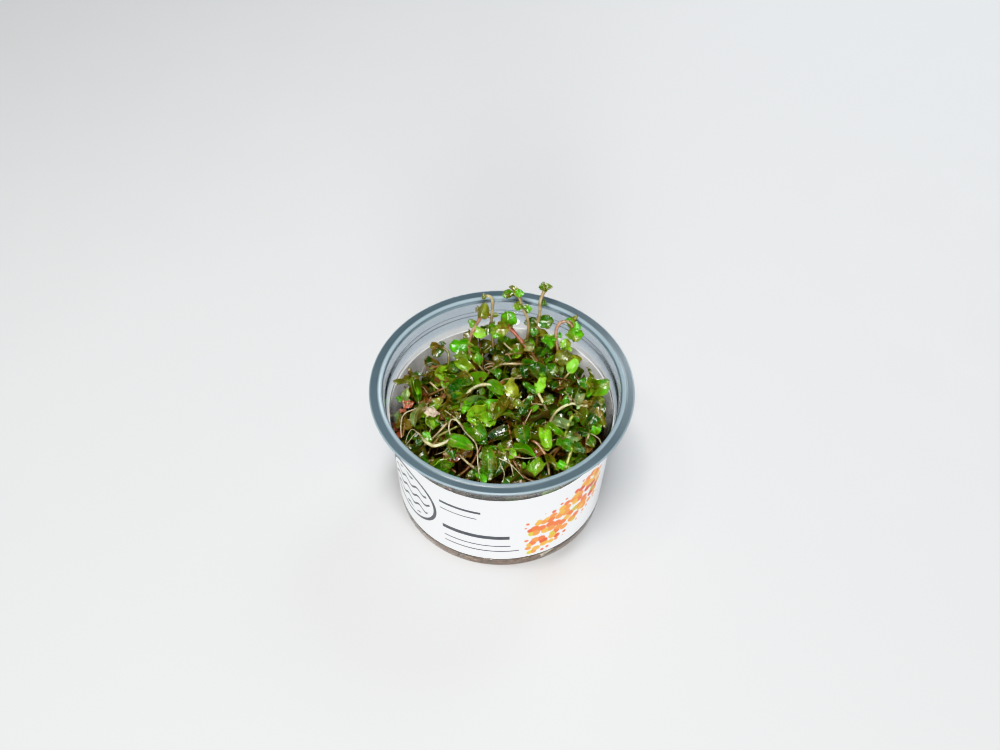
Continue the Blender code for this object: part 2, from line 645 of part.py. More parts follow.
def make_root_mat():
    """A low dome of matted roots with an uneven top, just clear of the cup's wall and floor."""
    rng = random.Random(MAT_SEED)
    edge = wall_radius(MAT_EDGE_HEIGHT) - WALL - MAT_WALL_GAP
    points = [(0, 0, MAT_BOTTOM)]
    rings = [(MAT_FOOT_RADIUS, None), (edge, MAT_EDGE_HEIGHT)]
    rings += [(edge * share, MAT_HEIGHT) for share in reversed(MAT_RINGS)]
    for radius, height in rings:
        for i in range(MAT_SEGMENTS):
            angle = 2 * math.pi * i / MAT_SEGMENTS
            lump = 0 if height is None else rng.uniform(-MAT_LUMP, MAT_LUMP)
            reach = radius - abs(lump) / 2
            z = MAT_BOTTOM if height is None else height + lump
            points.append((reach * math.cos(angle), reach * math.sin(angle), z))
    points.append((0, 0, MAT_HEIGHT))
    top = len(points) - 1
    last = top - MAT_SEGMENTS
    faces = []
    for i in range(MAT_SEGMENTS):
        following = (i + 1) % MAT_SEGMENTS
        faces.append((0, 1 + following, 1 + i))
        faces.append((top, last + i, last + following))
        for ring in range(len(rings) - 1):
            low = 1 + ring * MAT_SEGMENTS
            high = low + MAT_SEGMENTS
            faces.append((low + i, low + following, high + following))
            faces.append((low + i, high + following, high + i))
    return mesh_object("root_mat", points, faces, [finish("root_brown", (0.20, 0.12, 0.08), 0.6)])


def smooth_route(points):
    """Points every ROUTE_STEP along a centripetal Catmull-Rom curve through these points."""
    points = np.array(points, float)
    points = np.vstack([2 * points[0] - points[1], points, 2 * points[-1] - points[-2]])
    curve = []
    for a, b, c, d in zip(points, points[1:], points[2:], points[3:]):
        spans = [math.sqrt(np.linalg.norm(q - p)) for p, q in ((a, b), (b, c), (c, d))]
        times = np.cumsum([0, *spans])
        for t in np.linspace(times[1], times[2], CURVE_SAMPLES, endpoint=False):
            ab = a + (b - a) * (t - times[0]) / (times[1] - times[0])
            bc = b + (c - b) * (t - times[1]) / (times[2] - times[1])
            cd = c + (d - c) * (t - times[2]) / (times[3] - times[2])
            abc = ab + (bc - ab) * (t - times[0]) / (times[2] - times[0])
            bcd = bc + (cd - bc) * (t - times[1]) / (times[3] - times[1])
            curve.append(abc + (bcd - abc) * (t - times[1]) / (times[2] - times[1]))
    curve = np.array(curve + [points[-2]])
    lengths = np.concatenate([[0], np.cumsum(np.linalg.norm(np.diff(curve, axis=0), axis=1))])
    count = max(3, round(lengths[-1] / ROUTE_STEP) + 1)
    places = np.linspace(0, lengths[-1], count)
    return np.stack([np.interp(places, lengths, curve[:, k]) for k in range(3)], axis=1)


def settle(routes, radii, owners):
    """Push routes of different shoots apart where they cross, and keep all inside the wall."""
    starts = np.cumsum([0] + [len(route) for route in routes])
    points = np.concatenate(routes)
    first = points.copy()
    radius = np.repeat(radii, [len(route) for route in routes])
    owner = np.repeat(owners, [len(route) for route in routes])
    need = radius[:, None] + radius[None, :] + STEM_CLEARANCE
    need = np.where(owner[:, None] == owner[None, :], 0, need)
    for _ in range(SETTLE_STEPS):
        apart = points[:, None] - points[None, :]
        distance = np.linalg.norm(apart, axis=2) + 1e-9
        push = np.clip(need - distance, 0, None) / distance
        moved = points - first + (apart * push[:, :, None]).sum(axis=1) * SETTLE_PUSH
        for start, end in zip(starts, starts[1:]):
            run = moved[start:end]
            run[:PINNED_POINTS] = 0
            run[1:-1] = run[1:-1] / 2 + (run[:-2] + run[2:]) / 4
        points = first + moved
        across = np.hypot(points[:, 0], points[:, 1])
        room = np.array([room_radius(z) for z in points[:, 2]]) - radius
        points[:, :2] *= np.minimum(1, room / across)[:, None]
    return [points[start:end] for start, end in zip(starts, starts[1:])]


def thinned(route):
    """The fewest of the route's points whose chords stay within CHORD_TOLERANCE of it."""
    chord = route[-1] - route[0]
    chord = chord / max(np.linalg.norm(chord), 1e-9)
    off = route - route[0]
    off = np.linalg.norm(off - np.outer(off @ chord, chord), axis=1)
    furthest = int(off.argmax())
    if off[furthest] <= CHORD_TOLERANCE:
        return [route[0], route[-1]]
    return thinned(route[: furthest + 1])[:-1] + thinned(route[furthest:])


def tube(route, start_radius, end_radius, sides):
    """Points and faces of a tapering tube along the route, closed at both ends."""
    route = [Vector(point) for point in route]
    along = (route[1] - route[0]).normalized()
    side = along.orthogonal().normalized()
    points = []
    for i, place in enumerate(route):
        ahead = (route[min(i + 1, len(route) - 1)] - route[max(i - 1, 0)]).normalized()
        side = (along.rotation_difference(ahead) @ side).normalized()
        along = ahead
        radius = start_radius + (end_radius - start_radius) * i / (len(route) - 1)
        for k in range(sides):
            turned = Matrix.Rotation(2 * math.pi * k / sides, 3, along) @ side
            points.append(place + turned * radius)
    faces = [tuple(reversed(range(sides))), tuple(len(points) - sides + k for k in range(sides))]
    for i in range(len(route) - 1):
        low = i * sides
        for k in range(sides):
            near = (k + 1) % sides
            faces.append((low + k, low + near, low + sides + near, low + sides + k))
    return points, faces


def leaf_frame(base, tip, turn):
    """The leaf's length and its along, across and up directions, its face leaning to the front."""
    along = Vector(tip) - Vector(base)
    length = along.length
    along.normalize()
    across = Vector(FACE_HINT).cross(along)
    if across.length < STEEP:
        across = Vector((1, 0, 0)).cross(along)
    across.normalize()
    up = along.cross(across)
    to_front = up.cross(Vector((0, -1, 0))).dot(along)
    lean = Matrix.Rotation(math.copysign(1, to_front) * math.radians(turn), 3, along)
    return length, along, lean @ across, lean @ up


def leaf_shell(base, leaf, size, turn, grown=0.0):
    """Points and faces of a leaf: the points round its edge and the middles of its two sides."""
    length, along, across, up = leaf_frame(base, leaf.tip, leaf.turn + turn)
    length *= size
    width = leaf.width * size
    arch, lift = LEAF_FORMS[leaf.form]

    def place(u, v, proud=0.0):
        height = length * (arch * 4 * u * (1 - u) - arch * u) + lift * width * (2 * v) ** 2
        ahead = length * (PETIOLE + (1 - PETIOLE) * u) + grown * (2 * u - 1)
        aside = (width + 2 * grown) * v
        return Vector(base) + along * ahead + across * aside + up * (height + proud)

    thick = LEAF_THICKNESS / 2 + grown
    corners = len(LEAF_EDGE)
    points = [place(u, v) for u, v in LEAF_EDGE] + [place(0.5, 0, thick), place(0.5, 0, -thick)]
    points[0] = Vector(base) - along * LEAF_SINK
    top = [(k, (k + 1) % corners, corners) for k in range(corners)]
    underside = [((k + 1) % corners, k, corners + 1) for k in range(corners)]
    return points, top + underside


def tree_of(shell):
    return BVHTree.FromPolygons([tuple(point) for point in shell[0]], shell[1])


def in_room(points):
    return all(math.hypot(point[0], point[1]) < room_radius(point[2]) for point in points)


def grown_leaf(base, leaf, others):
    """The leaf's shell at the largest size and least turn at which it is clear of the other shoots."""
    for size in LEAF_SIZES_TO_TRY:
        for turn in LEAF_TURNS_TO_TRY:
            halo = leaf_shell(base, leaf, size, turn, CLEARANCE)
            if in_room(halo[0]) and not any(tree_of(halo).overlap(tree) for tree in others):
                return leaf_shell(base, leaf, size, turn)
    return None


def low_pairs(route, lowest_bare, rng):
    """Opposite leaves at even spaces up the hidden part of a stem, each pair across the last."""
    heights = np.concatenate([[0], np.cumsum(np.linalg.norm(np.diff(route, axis=0), axis=1))])
    angle = rng.uniform(0, math.pi)
    scatter = rng.uniform(-LOWEST_PAIR_SCATTER, LOWEST_PAIR_SCATTER)
    place = np.interp(LOWEST_PAIR_HEIGHT + scatter, route[:, 2], heights)
    while place < heights[-1] and np.interp(place, heights, route[:, 2]) < lowest_bare:
        base = Vector([np.interp(place, heights, route[:, k]) for k in range(3)])
        for half in (0, math.pi):
            length = rng.uniform(*LOW_LEAF_LENGTHS)
            rise = rng.uniform(*LOW_LEAF_RISES)
            out = Vector((math.cos(angle + half), math.sin(angle + half), rise)).normalized()
            form = rng.choice(LOW_LEAF_FORMS)
            yield base, Leaf(base + out * length, length * LOW_LEAF_WIDTH, form, "dark")
        angle += math.pi / 2
        place += PAIR_SPACING


def fused(name, stem, growths, materials):
    """The stem with all that grows from it as one closed body. Each growth is a shell and its slot."""
    body = mesh_object(name, *stem, materials)
    points, faces, slots = [], [], []
    for (shell_points, shell_faces), slot in growths:
        faces += [tuple(len(points) + corner for corner in face) for face in shell_faces]
        points += list(shell_points)
        slots += [slot] * len(shell_faces)
    helper = mesh_object(name + "_growths", points, faces, materials, slots)
    union = body.modifiers.new("Grow together", "BOOLEAN")
    union.operation = "UNION"
    union.solver = "EXACT"
    union.use_self = True
    union.object = helper
    graph = bpy.context.evaluated_depsgraph_get()
    mesh = bpy.data.meshes.new_from_object(body.evaluated_get(graph))
    body.modifiers.clear()
    body.data = mesh
    mesh.name = name
    bpy.data.objects.remove(helper)
    return body


def ground_under(floor, x, y, radius):
    """The highest point of the mat under a stem's foot."""
    down = Vector((0, 0, -1))
    around = [(x + a * radius, y + b * radius, ABOVE_MAT) for a in (-1, 0, 1) for b in (-1, 0, 1)]
    return max(floor.ray_cast(Vector(point), down)[0].z for point in around)


def stem_routes(floor):
    """The settled route, radius and owner of every stem, and of every root that hangs from one."""
    routes, radii, owners = [], [], []
    for number, shoot in enumerate(SHOOTS):
        x, y = shoot.foot
        foot = (x, y, ground_under(floor, x, y, shoot.radius) + STEM_START_GAP)
        routes.append(smooth_route([foot, (x, y, foot[2] + STEM_UPRIGHT), *shoot.route]))
        radii.append(shoot.radius)
        owners.append(number)
        for root in shoot.roots:
            routes.append(smooth_route(root))
            radii.append(ROOT_RADIUS)
            owners.append(number)
    return zip(settle(routes, radii, owners), radii, owners)


def make_shoots(mat):
    """Stems first, then each shoot's own leaves, then the pairs lower down, wherever there is room."""
    ground = [v.co / MM for v in mat.data.vertices]
    floor = BVHTree.FromPolygons(ground, [p.vertices for p in mat.data.polygons])
    stems, growths, trees = {}, {}, {-1: [floor]}
    palette = {tone: finish(tone, color, LEAF_ROUGHNESS) for tone, color in TONES.items()}
    tones = list(palette)
    for route, radius, owner in stem_routes(floor):
        if owner not in stems:
            shell = tube(thinned(route), radius, radius * STEM_TAPER, STEM_SIDES)
            stems[owner], growths[owner] = (shell, route), []
        else:
            shell = tube(thinned(route), radius, radius, ROOT_SIDES)
            growths[owner].append((shell, tones.index("cream")))
        trees.setdefault(owner, []).append(tree_of(shell))

    def grow(owner, base, leaf):
        others = [tree for other, found in trees.items() if other != owner for tree in found]
        shell = grown_leaf(base, leaf, others)
        if shell:
            growths[owner].append((shell, tones.index(leaf.tone)))
            trees[owner].append(tree_of(shell))

    for number, shoot in enumerate(SHOOTS):
        route = stems[number][1]
        for leaf in shoot.leaves:
            along = route[FIRST_LEAF_POINT:]
            near = np.linalg.norm(along - np.array(leaf.tip), axis=1).argmin()
            grow(number, Vector(along[near]), leaf)
    rng = random.Random(LOW_LEAF_SEED)
    for number, shoot in enumerate(SHOOTS):
        bare_above = min(leaf.tip[2] for leaf in shoot.leaves) - BARE_UNDER_LEAVES
        for base, leaf in low_pairs(stems[number][1], bare_above, rng):
            grow(number, base, leaf)
    for number, shoot in enumerate(SHOOTS):
        fused(shoot.name, stems[number][0], growths[number], list(palette.values()))


def main():
    for thing in list(bpy.data.objects):
        bpy.data.objects.remove(thing)
    make_cup()
    make_label()
    make_shoots(make_root_mat())


if __name__ == "__main__":
    main()
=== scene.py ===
"""The finished surfaces of rotala plantlets in their clear cup, laid out as a Blender 4.5 add-on.

Sizes and places are in millimetres and become metres where a mesh is made. +Z is up, the origin
is the middle of the cup's base, and the photographed side faces -Y.
"""

import math
import random
from collections import namedtuple

import bmesh
import bpy
import numpy as np
from mathutils import Matrix, Vector
from mathutils.bvhtree import BVHTree


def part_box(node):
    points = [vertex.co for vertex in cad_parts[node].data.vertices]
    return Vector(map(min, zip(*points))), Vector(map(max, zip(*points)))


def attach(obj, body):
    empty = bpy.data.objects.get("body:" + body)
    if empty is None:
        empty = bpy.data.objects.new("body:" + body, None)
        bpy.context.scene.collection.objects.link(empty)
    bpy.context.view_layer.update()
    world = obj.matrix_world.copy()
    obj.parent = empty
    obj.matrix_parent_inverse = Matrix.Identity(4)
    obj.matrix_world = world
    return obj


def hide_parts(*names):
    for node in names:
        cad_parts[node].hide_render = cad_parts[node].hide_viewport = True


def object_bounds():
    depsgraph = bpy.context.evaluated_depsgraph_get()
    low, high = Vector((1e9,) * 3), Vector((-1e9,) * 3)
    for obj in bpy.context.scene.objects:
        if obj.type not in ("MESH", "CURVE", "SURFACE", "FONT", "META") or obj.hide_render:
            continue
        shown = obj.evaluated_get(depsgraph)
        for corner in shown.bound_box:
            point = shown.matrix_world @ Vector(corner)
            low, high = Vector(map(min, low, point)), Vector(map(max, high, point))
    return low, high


bl_info = {
    "name": "Rotala in a clear cup",
    "version": (1, 0, 0),
    "blender": (4, 5, 0),
    "location": "3D View > Sidebar > Rotala",
    "description": "Builds the finished cup, label, roots and shoots around their solid frame",
    "category": "Object",
}

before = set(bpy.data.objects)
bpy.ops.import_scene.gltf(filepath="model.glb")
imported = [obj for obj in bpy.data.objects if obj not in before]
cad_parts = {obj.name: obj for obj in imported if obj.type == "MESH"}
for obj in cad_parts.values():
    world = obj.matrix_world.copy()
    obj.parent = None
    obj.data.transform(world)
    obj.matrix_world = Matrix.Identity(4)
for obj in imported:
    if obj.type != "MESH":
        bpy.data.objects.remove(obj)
CAD_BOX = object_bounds()

MM = 0.001
# Points nearer than this are one point, on a turned piece and on a strand
TURNED_WELD = MM / 100
STRAND_WELD = MM / 1000

# Cup, whose flange is as wide and as high as its solid's
FLANGE_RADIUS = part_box("cup")[1].x / MM
BEAD_HEIGHT = 0.35
FLANGE_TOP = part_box("cup")[1].z / MM - BEAD_HEIGHT
BASE_RADIUS = 39.25
DRAFT = 0.0825
# The wall in the solid, which the plants keep clear of, and here
WALL = 0.9
THIN_WALL = 0.5
FLOOR_RADIUS = 39.2
FLOOR_THICKNESS = 0.3
FLOOR_CORNER_HEIGHT = 0.55
FOOT_CHAMFER_IN = 0.35
FOOT_CHAMFER_UP = 0.35
FOOT_TOP = 4.5
FOOT_OUT = 0.5
FOOT_SLOPE = 0.35
# Heights where the brown painted shade on the wall's foot is full and where it is gone
FOOT_SHADE_HEIGHTS = (0.4, 1.3)
STEP_BOTTOM = 48.8
STEP_TOP = 50.5
STEP_OUT = 1.2
UPPER_WALL_TOP = 58.6
UPPER_WALL_RADIUS = 45.9
UPPER_RIBS = (52.6, 54.4)
RIB_DEPTH = 0.22
RIB_HALF = 0.35
BEAD_RADIUS = 46.95
BEAD_FLARE = 1.0
RIM_EDGE = 0.35
LIP_DROP = 0.85
MILKY_ABOVE = 57.9
BEAD_POINTS = 8
# Radius and half width of each whiter ring of the rim, a painted highlight that is partly thick
# milky plastic, the share of that width that is fully white, and how much of the whiter tint it takes
RIM_LINES = ((50.45, 0.6), (46.5, 1.1))
RIM_LINE_CORE = 0.3
RIM_LINE_SHARE = 0.75
EDGE_ROUND = 0.18
ROUNDED_ABOVE_DEGREES = 22
CUP_SMOOTH_DEGREES = 50
POLYPROPYLENE_IOR = 1.49
# Shares of the light that pass straight through, so that the plants inside are lit
WALL_LIGHT = 0.95
RIM_LIGHT = 0.4

# Label
LABEL_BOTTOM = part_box("label")[0].z / MM
LABEL_SET_DOWN = 0.6
LABEL_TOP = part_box("label")[1].z / MM - LABEL_SET_DOWN
LABEL_GAP = 0.3
LABEL_THICKNESS = 0.25
LAP_GAP = 0.05
LABEL_LAP_DEGREES = 14
LABEL_SEAM_DEGREES = 62
# Where the plants' painted shade darkens the label's back, and the share of light that is left there
BACK_SHADE_HEIGHTS = (20.0, 38.0)
BACK_SHADE_LIGHT = 0.12
LABEL_COLUMNS = 180
LABEL_ROWS = 6
LABEL_SMOOTH_DEGREES = 40
FRONT_DEGREES = 270

# Plain print on the label, as places right of the front's middle and up from the table
BADGE_X = -40.0
BADGE_Y = 27.5
BADGE_RADIUS = 14.0
BADGE_LINE = 1.6
BADGE_MARGIN = 2.4
BADGE_WAVES = 0.9
BADGE_SWING = 1.1
BADGE_ROW = 2.8
# The left and right ends of each rule, its height and its thickness
LABEL_RULES = (
    (-23.5, -7.0, 37.0, 1.7),
    (-23.5, -8.5, 32.6, 0.9),
    (-23.0, 4.0, 20.5, 2.6),
    (-22.5, 4.5, 14.5, 1.0),
    (-22.5, 8.0, 10.8, 1.0),
)
DRIFT_LEFT = 9.0
DRIFT_RIGHT = 47.0
DRIFT_LOW = 17.0
DRIFT_HIGH = 35.0
DRIFT_HALF = 15.0
BUBBLE_SPACING = 3.2
BUBBLE_SIZE = 0.58
BUBBLE_SHARES = (0.0, 0.32, 0.56, 0.72, 0.93)
BUBBLE_TONES = (
    (0.84, 0.17, 0.01), (0.92, 0.32, 0.015), (0.66, 0.08, 0.01), (0.93, 0.50, 0.03), (0.50, 0.42, 0.03),
)
BUBBLE_SCATTER = 0.8
# How fast the bubbles grow from the drift's edge to its middle, and how blunt its two ends are
DRIFT_GROWTH = 2.2
DRIFT_BLUNTNESS = 3.0

# Root mat
MAT_BOTTOM = 0.35
MAT_FOOT_RADIUS = 37.0
MAT_EDGE_HEIGHT = 5.5
MAT_HEIGHT = 8.5
MAT_GAP = 0.08
MAT_STEPS = 96
MAT_PROFILE = (0.22, 0.45, 0.68, 0.88)
# The part of the mat above this share of its edge's height is cut finer, this many times
MAT_FINE_FROM = 0.98
MAT_CUTS = 2
MAT_LUMPS = 0.9
MAT_LUMP_SIZE = 5.0
MAT_LUMP_LEVEL = 0.6
MAT_SMOOTH_DEGREES = 60
FIBRE_SHAPES = 10
FIBRE_POINTS = 11
FIBRE_DETAIL = 0
FIBRE_LENGTHS = (9.0, 19.0)
FIBRE_THICKNESSES = (0.55, 1.25)
# A root's radius at its start and how much of it is lost towards its end
FIBRE_START = 1.1
FIBRE_TAPER = 0.6
FIBRE_WANDER = 0.5
FIBRE_FLATNESS = 0.6
WALL_FIBRES = 0.45
WALL_FIBRE_HEIGHTS = (1.0, 5.4)
WALL_FIBRE_LEAN = 0.35
WALL_FIBRE_TILT = 0.3
LYING_FIBRE_HEIGHTS = (-0.5, 0.7)
FIBRE_RADIUS_LIMIT = 39.1
# One old cut stem that lies against the wall at the front
PALE_STUMP = ((16.0, -35.8, 2.2), (18.4, -34.6, 3.2), (20.8, -33.2, 4.4))
STUMP_RADIUS = 1.2
STUMP_TONE = (0.80, 0.72, 0.55)
FIBRE_TONES = (
    (0.30, 0.19, 0.11), (0.21, 0.12, 0.07), (0.12, 0.065, 0.035), (0.40, 0.29, 0.18), (0.06, 0.035, 0.02),
)

# Stems, as the solids have them
STEM_TAPER = 0.88
STEM_START_GAP = 0.35
STEM_UPRIGHT = 3.0
ABOVE_MAT = 30.0
CURVE_SAMPLES = 24
ROUTE_STEP = 2.0
STEM_CLEARANCE = 0.75
SETTLE_STEPS = 60
SETTLE_PUSH = 0.4
NEARLY_NOTHING = 1e-9
PINNED_POINTS = 2
CLEARANCE = 0.3
SOLID_ROOT_RADIUS = 0.4
FIRST_LEAF_POINT = 3
FACE_HINT = (0, -0.35, 1)
STEEP = 0.2

# Finer stems, roots and leaves
FINE_STEP = 0.9
STEM_SINK = 1.5
STEM_DETAIL = 2
FIRST_NODE = 2
NODE_SPACING = 6.0
NODE_SWELL = 0.3
NODE_WIDTH = 0.8
NODE_REDDENED = 0.5
# Below this height a stem turns to this dark tone over this fade: partly its old brown part, partly painted
# shade under the leaves
OLD_SHADED_STEM_TOP = 42.0
OLD_SHADED_STEM_FADE = 12
OLD_SHADED_STEM_TONE = (0.12, 0.07, 0.035)
YOUNG_LENGTH = 12.0
YOUNG_FADE = 4
# How far a stem below its young end goes to brown, and how far a pale one does
BROWNED = 0.75
FRESH_BROWNED = 0.15
BROWN_TONE = (0.235, 0.17, 0.08)
NODE_TONE = (0.24, 0.125, 0.06)
# Radius of a stem and of a hanging root as shares of the solid's
STEM_SHARE = 0.98
ROOT_SHARE = 0.8
THREAD_DETAIL = 1
THREAD_RADIUS = 0.18
THREAD_END = 0.6
THREAD_TONE = (0.42, 0.38, 0.25)
# Columns and rows of a leaf's grid and how crumpled it is, for the seen leaves and for the extra ones
SEEN_GRID = (6, 10, 0.21)
EXTRA_GRID = (4, 7, 0.14)
LEAF_CRUMPLE_SIZES = (0.4, 0.6)
LEAF_CRUMPLE_LEVEL = 0.4
LEAF_RIPPLES = 1.8
LEAF_ROLL_POWER = 1.6
LEAF_BEND_SHARES = (0.4, 1.6)
MARGIN_JITTER = 0.016
LEAF_THICKNESS = 0.035
LEAF_SMOOTH_DEGREES = 38
LEAF_WIDEST = 0.82
LEAF_FULLNESS = 0.58
BASE_WIDTH = 0.12
TIP_WIDTH = 0.05
LEAF_PALE = (0.50, 0.50, 0.30)
LEAF_BLUSH = (0.42, 0.20, 0.13)
LEAF_FLUSH = (0.22, 0.10, 0.04)
LEAF_BLOTCH = (0.16, 0.13, 0.02)
LEAF_MARGIN = (0.20, 0.07, 0.02)
LEAF_VEIN = (0.42, 0.46, 0.14)
# Shares of their own tones that the margin, the side veins and the midrib take, how deep the
# side veins are beside the midrib, and how much paler and duller the underside is
MARGIN_SHARE = 0.3
VEIN_SHARE = 0.1
RIB_SHARE = 0.2
VEIN_DEPTH = 0.6
UNDERSIDE_WASH = 0.28
UNDERSIDE_DULLER = 0.08
STEM_BLOTCH = (0.16, 0.095, 0.04)

# How high the leaves stand in the middle, where they start to fall towards the front and how
# steeply, and how fast they fall to the sides
CANOPY_TOP = 50.0
CANOPY_SLOPE = 0.44
CANOPY_FRONT = -2.0
CANOPY_FALL = 0.0025

# Side sprigs, twigs, hair roots and the pairs of leaves low on each stem
SPRIG_FROM = 31.0
SPRIG_TO = 42.0
SPRIG_TRIES = 14
SPRIG_REACH = (6.0, 13.0)
# Shoots that stand further forward than this have one sprig less
SPARSE_FRONT = -8.0
SPRIG_ROOM = 4.0
SPRIG_DEPTHS = (3.5, 12.0)
SPRIG_RISE = 3.0
# Where a sprig bends, as shares of the way out and of the way up
SPRIG_BEND_OUT = 0.6
SPRIG_BEND_UP = 0.35
SPRIG_RADIUS = 0.5
ROOTED_SPRIGS = 0.3
TWIG_REACH = (9.0, 17.0)
TWIG_DEPTH = 8.0
BUDDED_TWIGS = 0.4
TWIG_RADII = (0.3, 0.5)
TWIG_TONES = (
    (0.22, 0.15, 0.075), (0.24, 0.15, 0.08), (0.36, 0.30, 0.17), (0.16, 0.08, 0.045), (0.22, 0.25, 0.08),
)
TWIG_TURN = 0.9
# How far under the leaves a twig lies, as shares of its depth half way and at its end
TWIG_MIDDLE_DEPTH = 0.4
TWIG_END_DEPTHS = (0.0, 0.25)
HAIR_REACH = (7.0, 15.0)
HAIR_TURN = 0.7
HAIR_ARCH_AT = 0.45
HAIR_RISES = (0.2, 0.8)
HAIR_FALLS = (-0.7, 0.1)
HAIR_THICKNESSES = (0.6, 1.0)
SPRIG_PAIRS = ((0.45, 0.75), (0.8,), (0.55, 0.9), (0.9,), (0.35, 0.65, 0.9))
SPRIG_LEAVES = (5.4, 9.2)
SPRIG_LIFT = (0.1, 1.0)
BUD_LEAVES = (2.2, 3.8)
BUD_LIFT = (0.8, 2.2)
LEAF_SLENDER = (0.62, 0.84)
# How far the two leaves of a pair turn from their places, and where a young leaf beside one points
PAIR_TURNS = (-0.3, 0.3)
ALL_ROUND = (0, 2 * math.pi)
COMPANIONS = (0, 1, 1, 2)
COMPANION_LEAVES = (2.4, 4.4)
COMPANION_LIFT = (-0.3, 1.5)
SMALL_LEAF = 3.0
LOW_PAIR_FROM = 28.0
LOW_PAIR_SPREAD = 4
LOW_PAIR_SPACING = 6.5
LOW_LEAVES = (4.6, 7.2)
BARE_UNDER_LEAVES = 5.0
SPRIG_TONES = ("tan", "tan", "olive", "pink", "rust")
LOW_TONES = ("dark", "dark", "olive", "rust", "rust")
LEAF_SHADES = (0.75, 1.3)
TONE_SPREAD = (0.9, 1.1)
EXTRA_TURNS = (-65, 65)
LEAF_SWAY = 28
# Painted shade: the share of light that the deepest leaves lack in their colour, and how deep under the
# others they lie
SHADED = 0.84
SHADE_DEPTH = 9.5
# The way to the camera, and how near to what is seen along it an extra leaf may come
TO_FRONT = (0.0, -0.6475, 0.7621)
SEEN_RADIUS = 2.6
# Kinds and how often each is met
EXTRA_FORMS = (("flat", "cupped", "drooped", "curled", "folded"), (20, 22, 20, 20, 18))
EXTRA_TONES = (("mid", "dark", "bright", "olive", "lime", "rust"), (30, 24, 18, 14, 6, 6))
BUD_TONES = (("bright", "lime", "mid", "pink"), (38, 30, 24, 8))

# Fine roots seen on top of the leaves, each from the stem nearest to its first point
FINE_ROOTS = (
    ((-34, -8.5, 45), (-35.5, -11, 45), (-36.5, -14, 43)),
    ((-32, -10, 45), (-35, -13.5, 44), (-37, -15, 42)),
    ((35.5, -10, 45), (37.5, -11.5, 44.5), (38.5, -13.5, 43)),
    ((0, -25, 45), (1.4, -28, 44), (1, -31, 42)),
    ((-7, 21.5, 48), (0, 22.5, 49), (5, 22.5, 48)),
    ((-7, 20, 48), (-1, 20.6, 49.4), (3.5, 21.4, 48.4)),
    ((-32, 17, 47), (-30, 20.5, 49), (-27, 23, 48)),
    ((-31.5, 11, 47), (-30.4, 9.5, 48.5), (-28.5, 7.5, 47)),
    ((-2, -22, 46), (3, -24, 45), (9, -29, 42)),
    ((4, -21, 46), (9, -22, 45.4), (14, -21, 45)),
)

Leaf = namedtuple("Leaf", "tip width form tone turn", defaults=(0,))
Shoot = namedtuple("Shoot", "name radius stem_tone foot route leaves roots", defaults=((),))

# Leaves seen on short twigs, each with the place where its twig ends
TWIG_LEAVES = (
    ((-12, 10, 50), Leaf((-21, 5.5, 48), 7.5, "folded", "dark")),
    ((-1, 0, 51.5), Leaf((-12, -6, 50.4), 8, "cupped", "bright")),
    ((-12, -6, 49.5), Leaf((-5.5, -8.5, 48.5), 3, "folded", "lime")),
    ((2, 1.5, 51), Leaf((-3, -6.5, 49.5), 4, "folded", "olive")),
    ((-11.5, 1.5, 50.5), Leaf((-14.5, -4, 49.5), 3.6, "cupped", "bright")),
    ((-14, 0.5, 49.6), Leaf((-4.5, 0.5, 50.2), 2.6, "folded", "pale")),
    ((0.5, 4, 51.5), Leaf((-6, 8.5, 53), 4, "folded", "bright")),
    # A pinkish leaf whose pale tone partly paints its highlight
    ((-30, -3, 49.5), Leaf((-24, -5.5, 50), 4.6, "cupped", "blush_and_sheen")),
    ((-32, 3, 46.5), Leaf((-34, 15.5, 50), 3.2, "folded", "mid")),
    ((-11, 17.5, 51), Leaf((-18.5, 21, 51.5), 4.2, "cupped", "lime")),
    ((-9, 19, 51), Leaf((-9.5, 23.5, 53), 4, "folded", "bright")),
    ((8, -9, 48), Leaf((9.5, -16.5, 47), 6.4, "cupped", "mid")),
    ((-12, -7, 47), Leaf((-6.5, -13.5, 45), 6.4, "folded", "mid")),
    ((-5, -19, 46), Leaf((-4, -27.5, 40), 5.4, "curled", "mid")),
    ((1.5, -20, 45), Leaf((-1.5, -27.5, 41), 4.2, "drooped", "dark")),
    ((7.5, -34, 37), Leaf((7, -29.5, 42), 8, "flat", "grey")),
    ((16.5, -10, 47.5), Leaf((18, -17, 45), 4.6, "folded", "lime")),
    ((22.5, -12.5, 47.5), Leaf((16.5, -8.5, 48.5), 3, "folded", "bright")),
    ((21, 22, 51), Leaf((26.5, 23.5, 52.5), 6, "cupped", "olive")),
    ((26, 16, 51), Leaf((29, 21, 53), 4.6, "cupped", "lime")),
    ((39, 2, 49), Leaf((33, -7, 45), 5, "drooped", "dark")),
)
TWIG_LEAF_RISE = 5.0
TWIG_LEAF_RADIUS = 0.42
SEEN_STEMS = ("cream", "lime", "fresh")
SEEN_STEM_POINTS = 7

# Arch and twist in degrees, roll and wave as shares of the length
LeafForm = namedtuple("LeafForm", "arch roll twist wave")
LEAF_FORMS = {
    "flat": (LeafForm(30, 0.12, 18, 0.10), LeafForm(-25, 0.08, -26, 0.12), LeafForm(50, 0.03, 32, 0.12)),
    "cupped": (LeafForm(-35, 0.28, 16, 0.09), LeafForm(25, 0.34, -22, 0.11), LeafForm(-60, 0.20, 32, 0.12)),
    "drooped": (LeafForm(75, -0.14, 24, 0.10), LeafForm(100, -0.06, -30, 0.12), LeafForm(85, 0.18, 36, 0.10)),
    "curled": (LeafForm(105, 0.30, 40, 0.10), LeafForm(85, 0.38, -52, 0.10), LeafForm(-95, 0.34, 46, 0.10)),
    "folded": (LeafForm(35, 0.48, 20, 0.08), LeafForm(60, 0.42, -34, 0.10), LeafForm(-30, 0.52, 28, 0.09)),
}

# Where the noise behind every uneven pattern is fully dark and fully light
MOTTLE_EDGES = (0.32, 0.68)
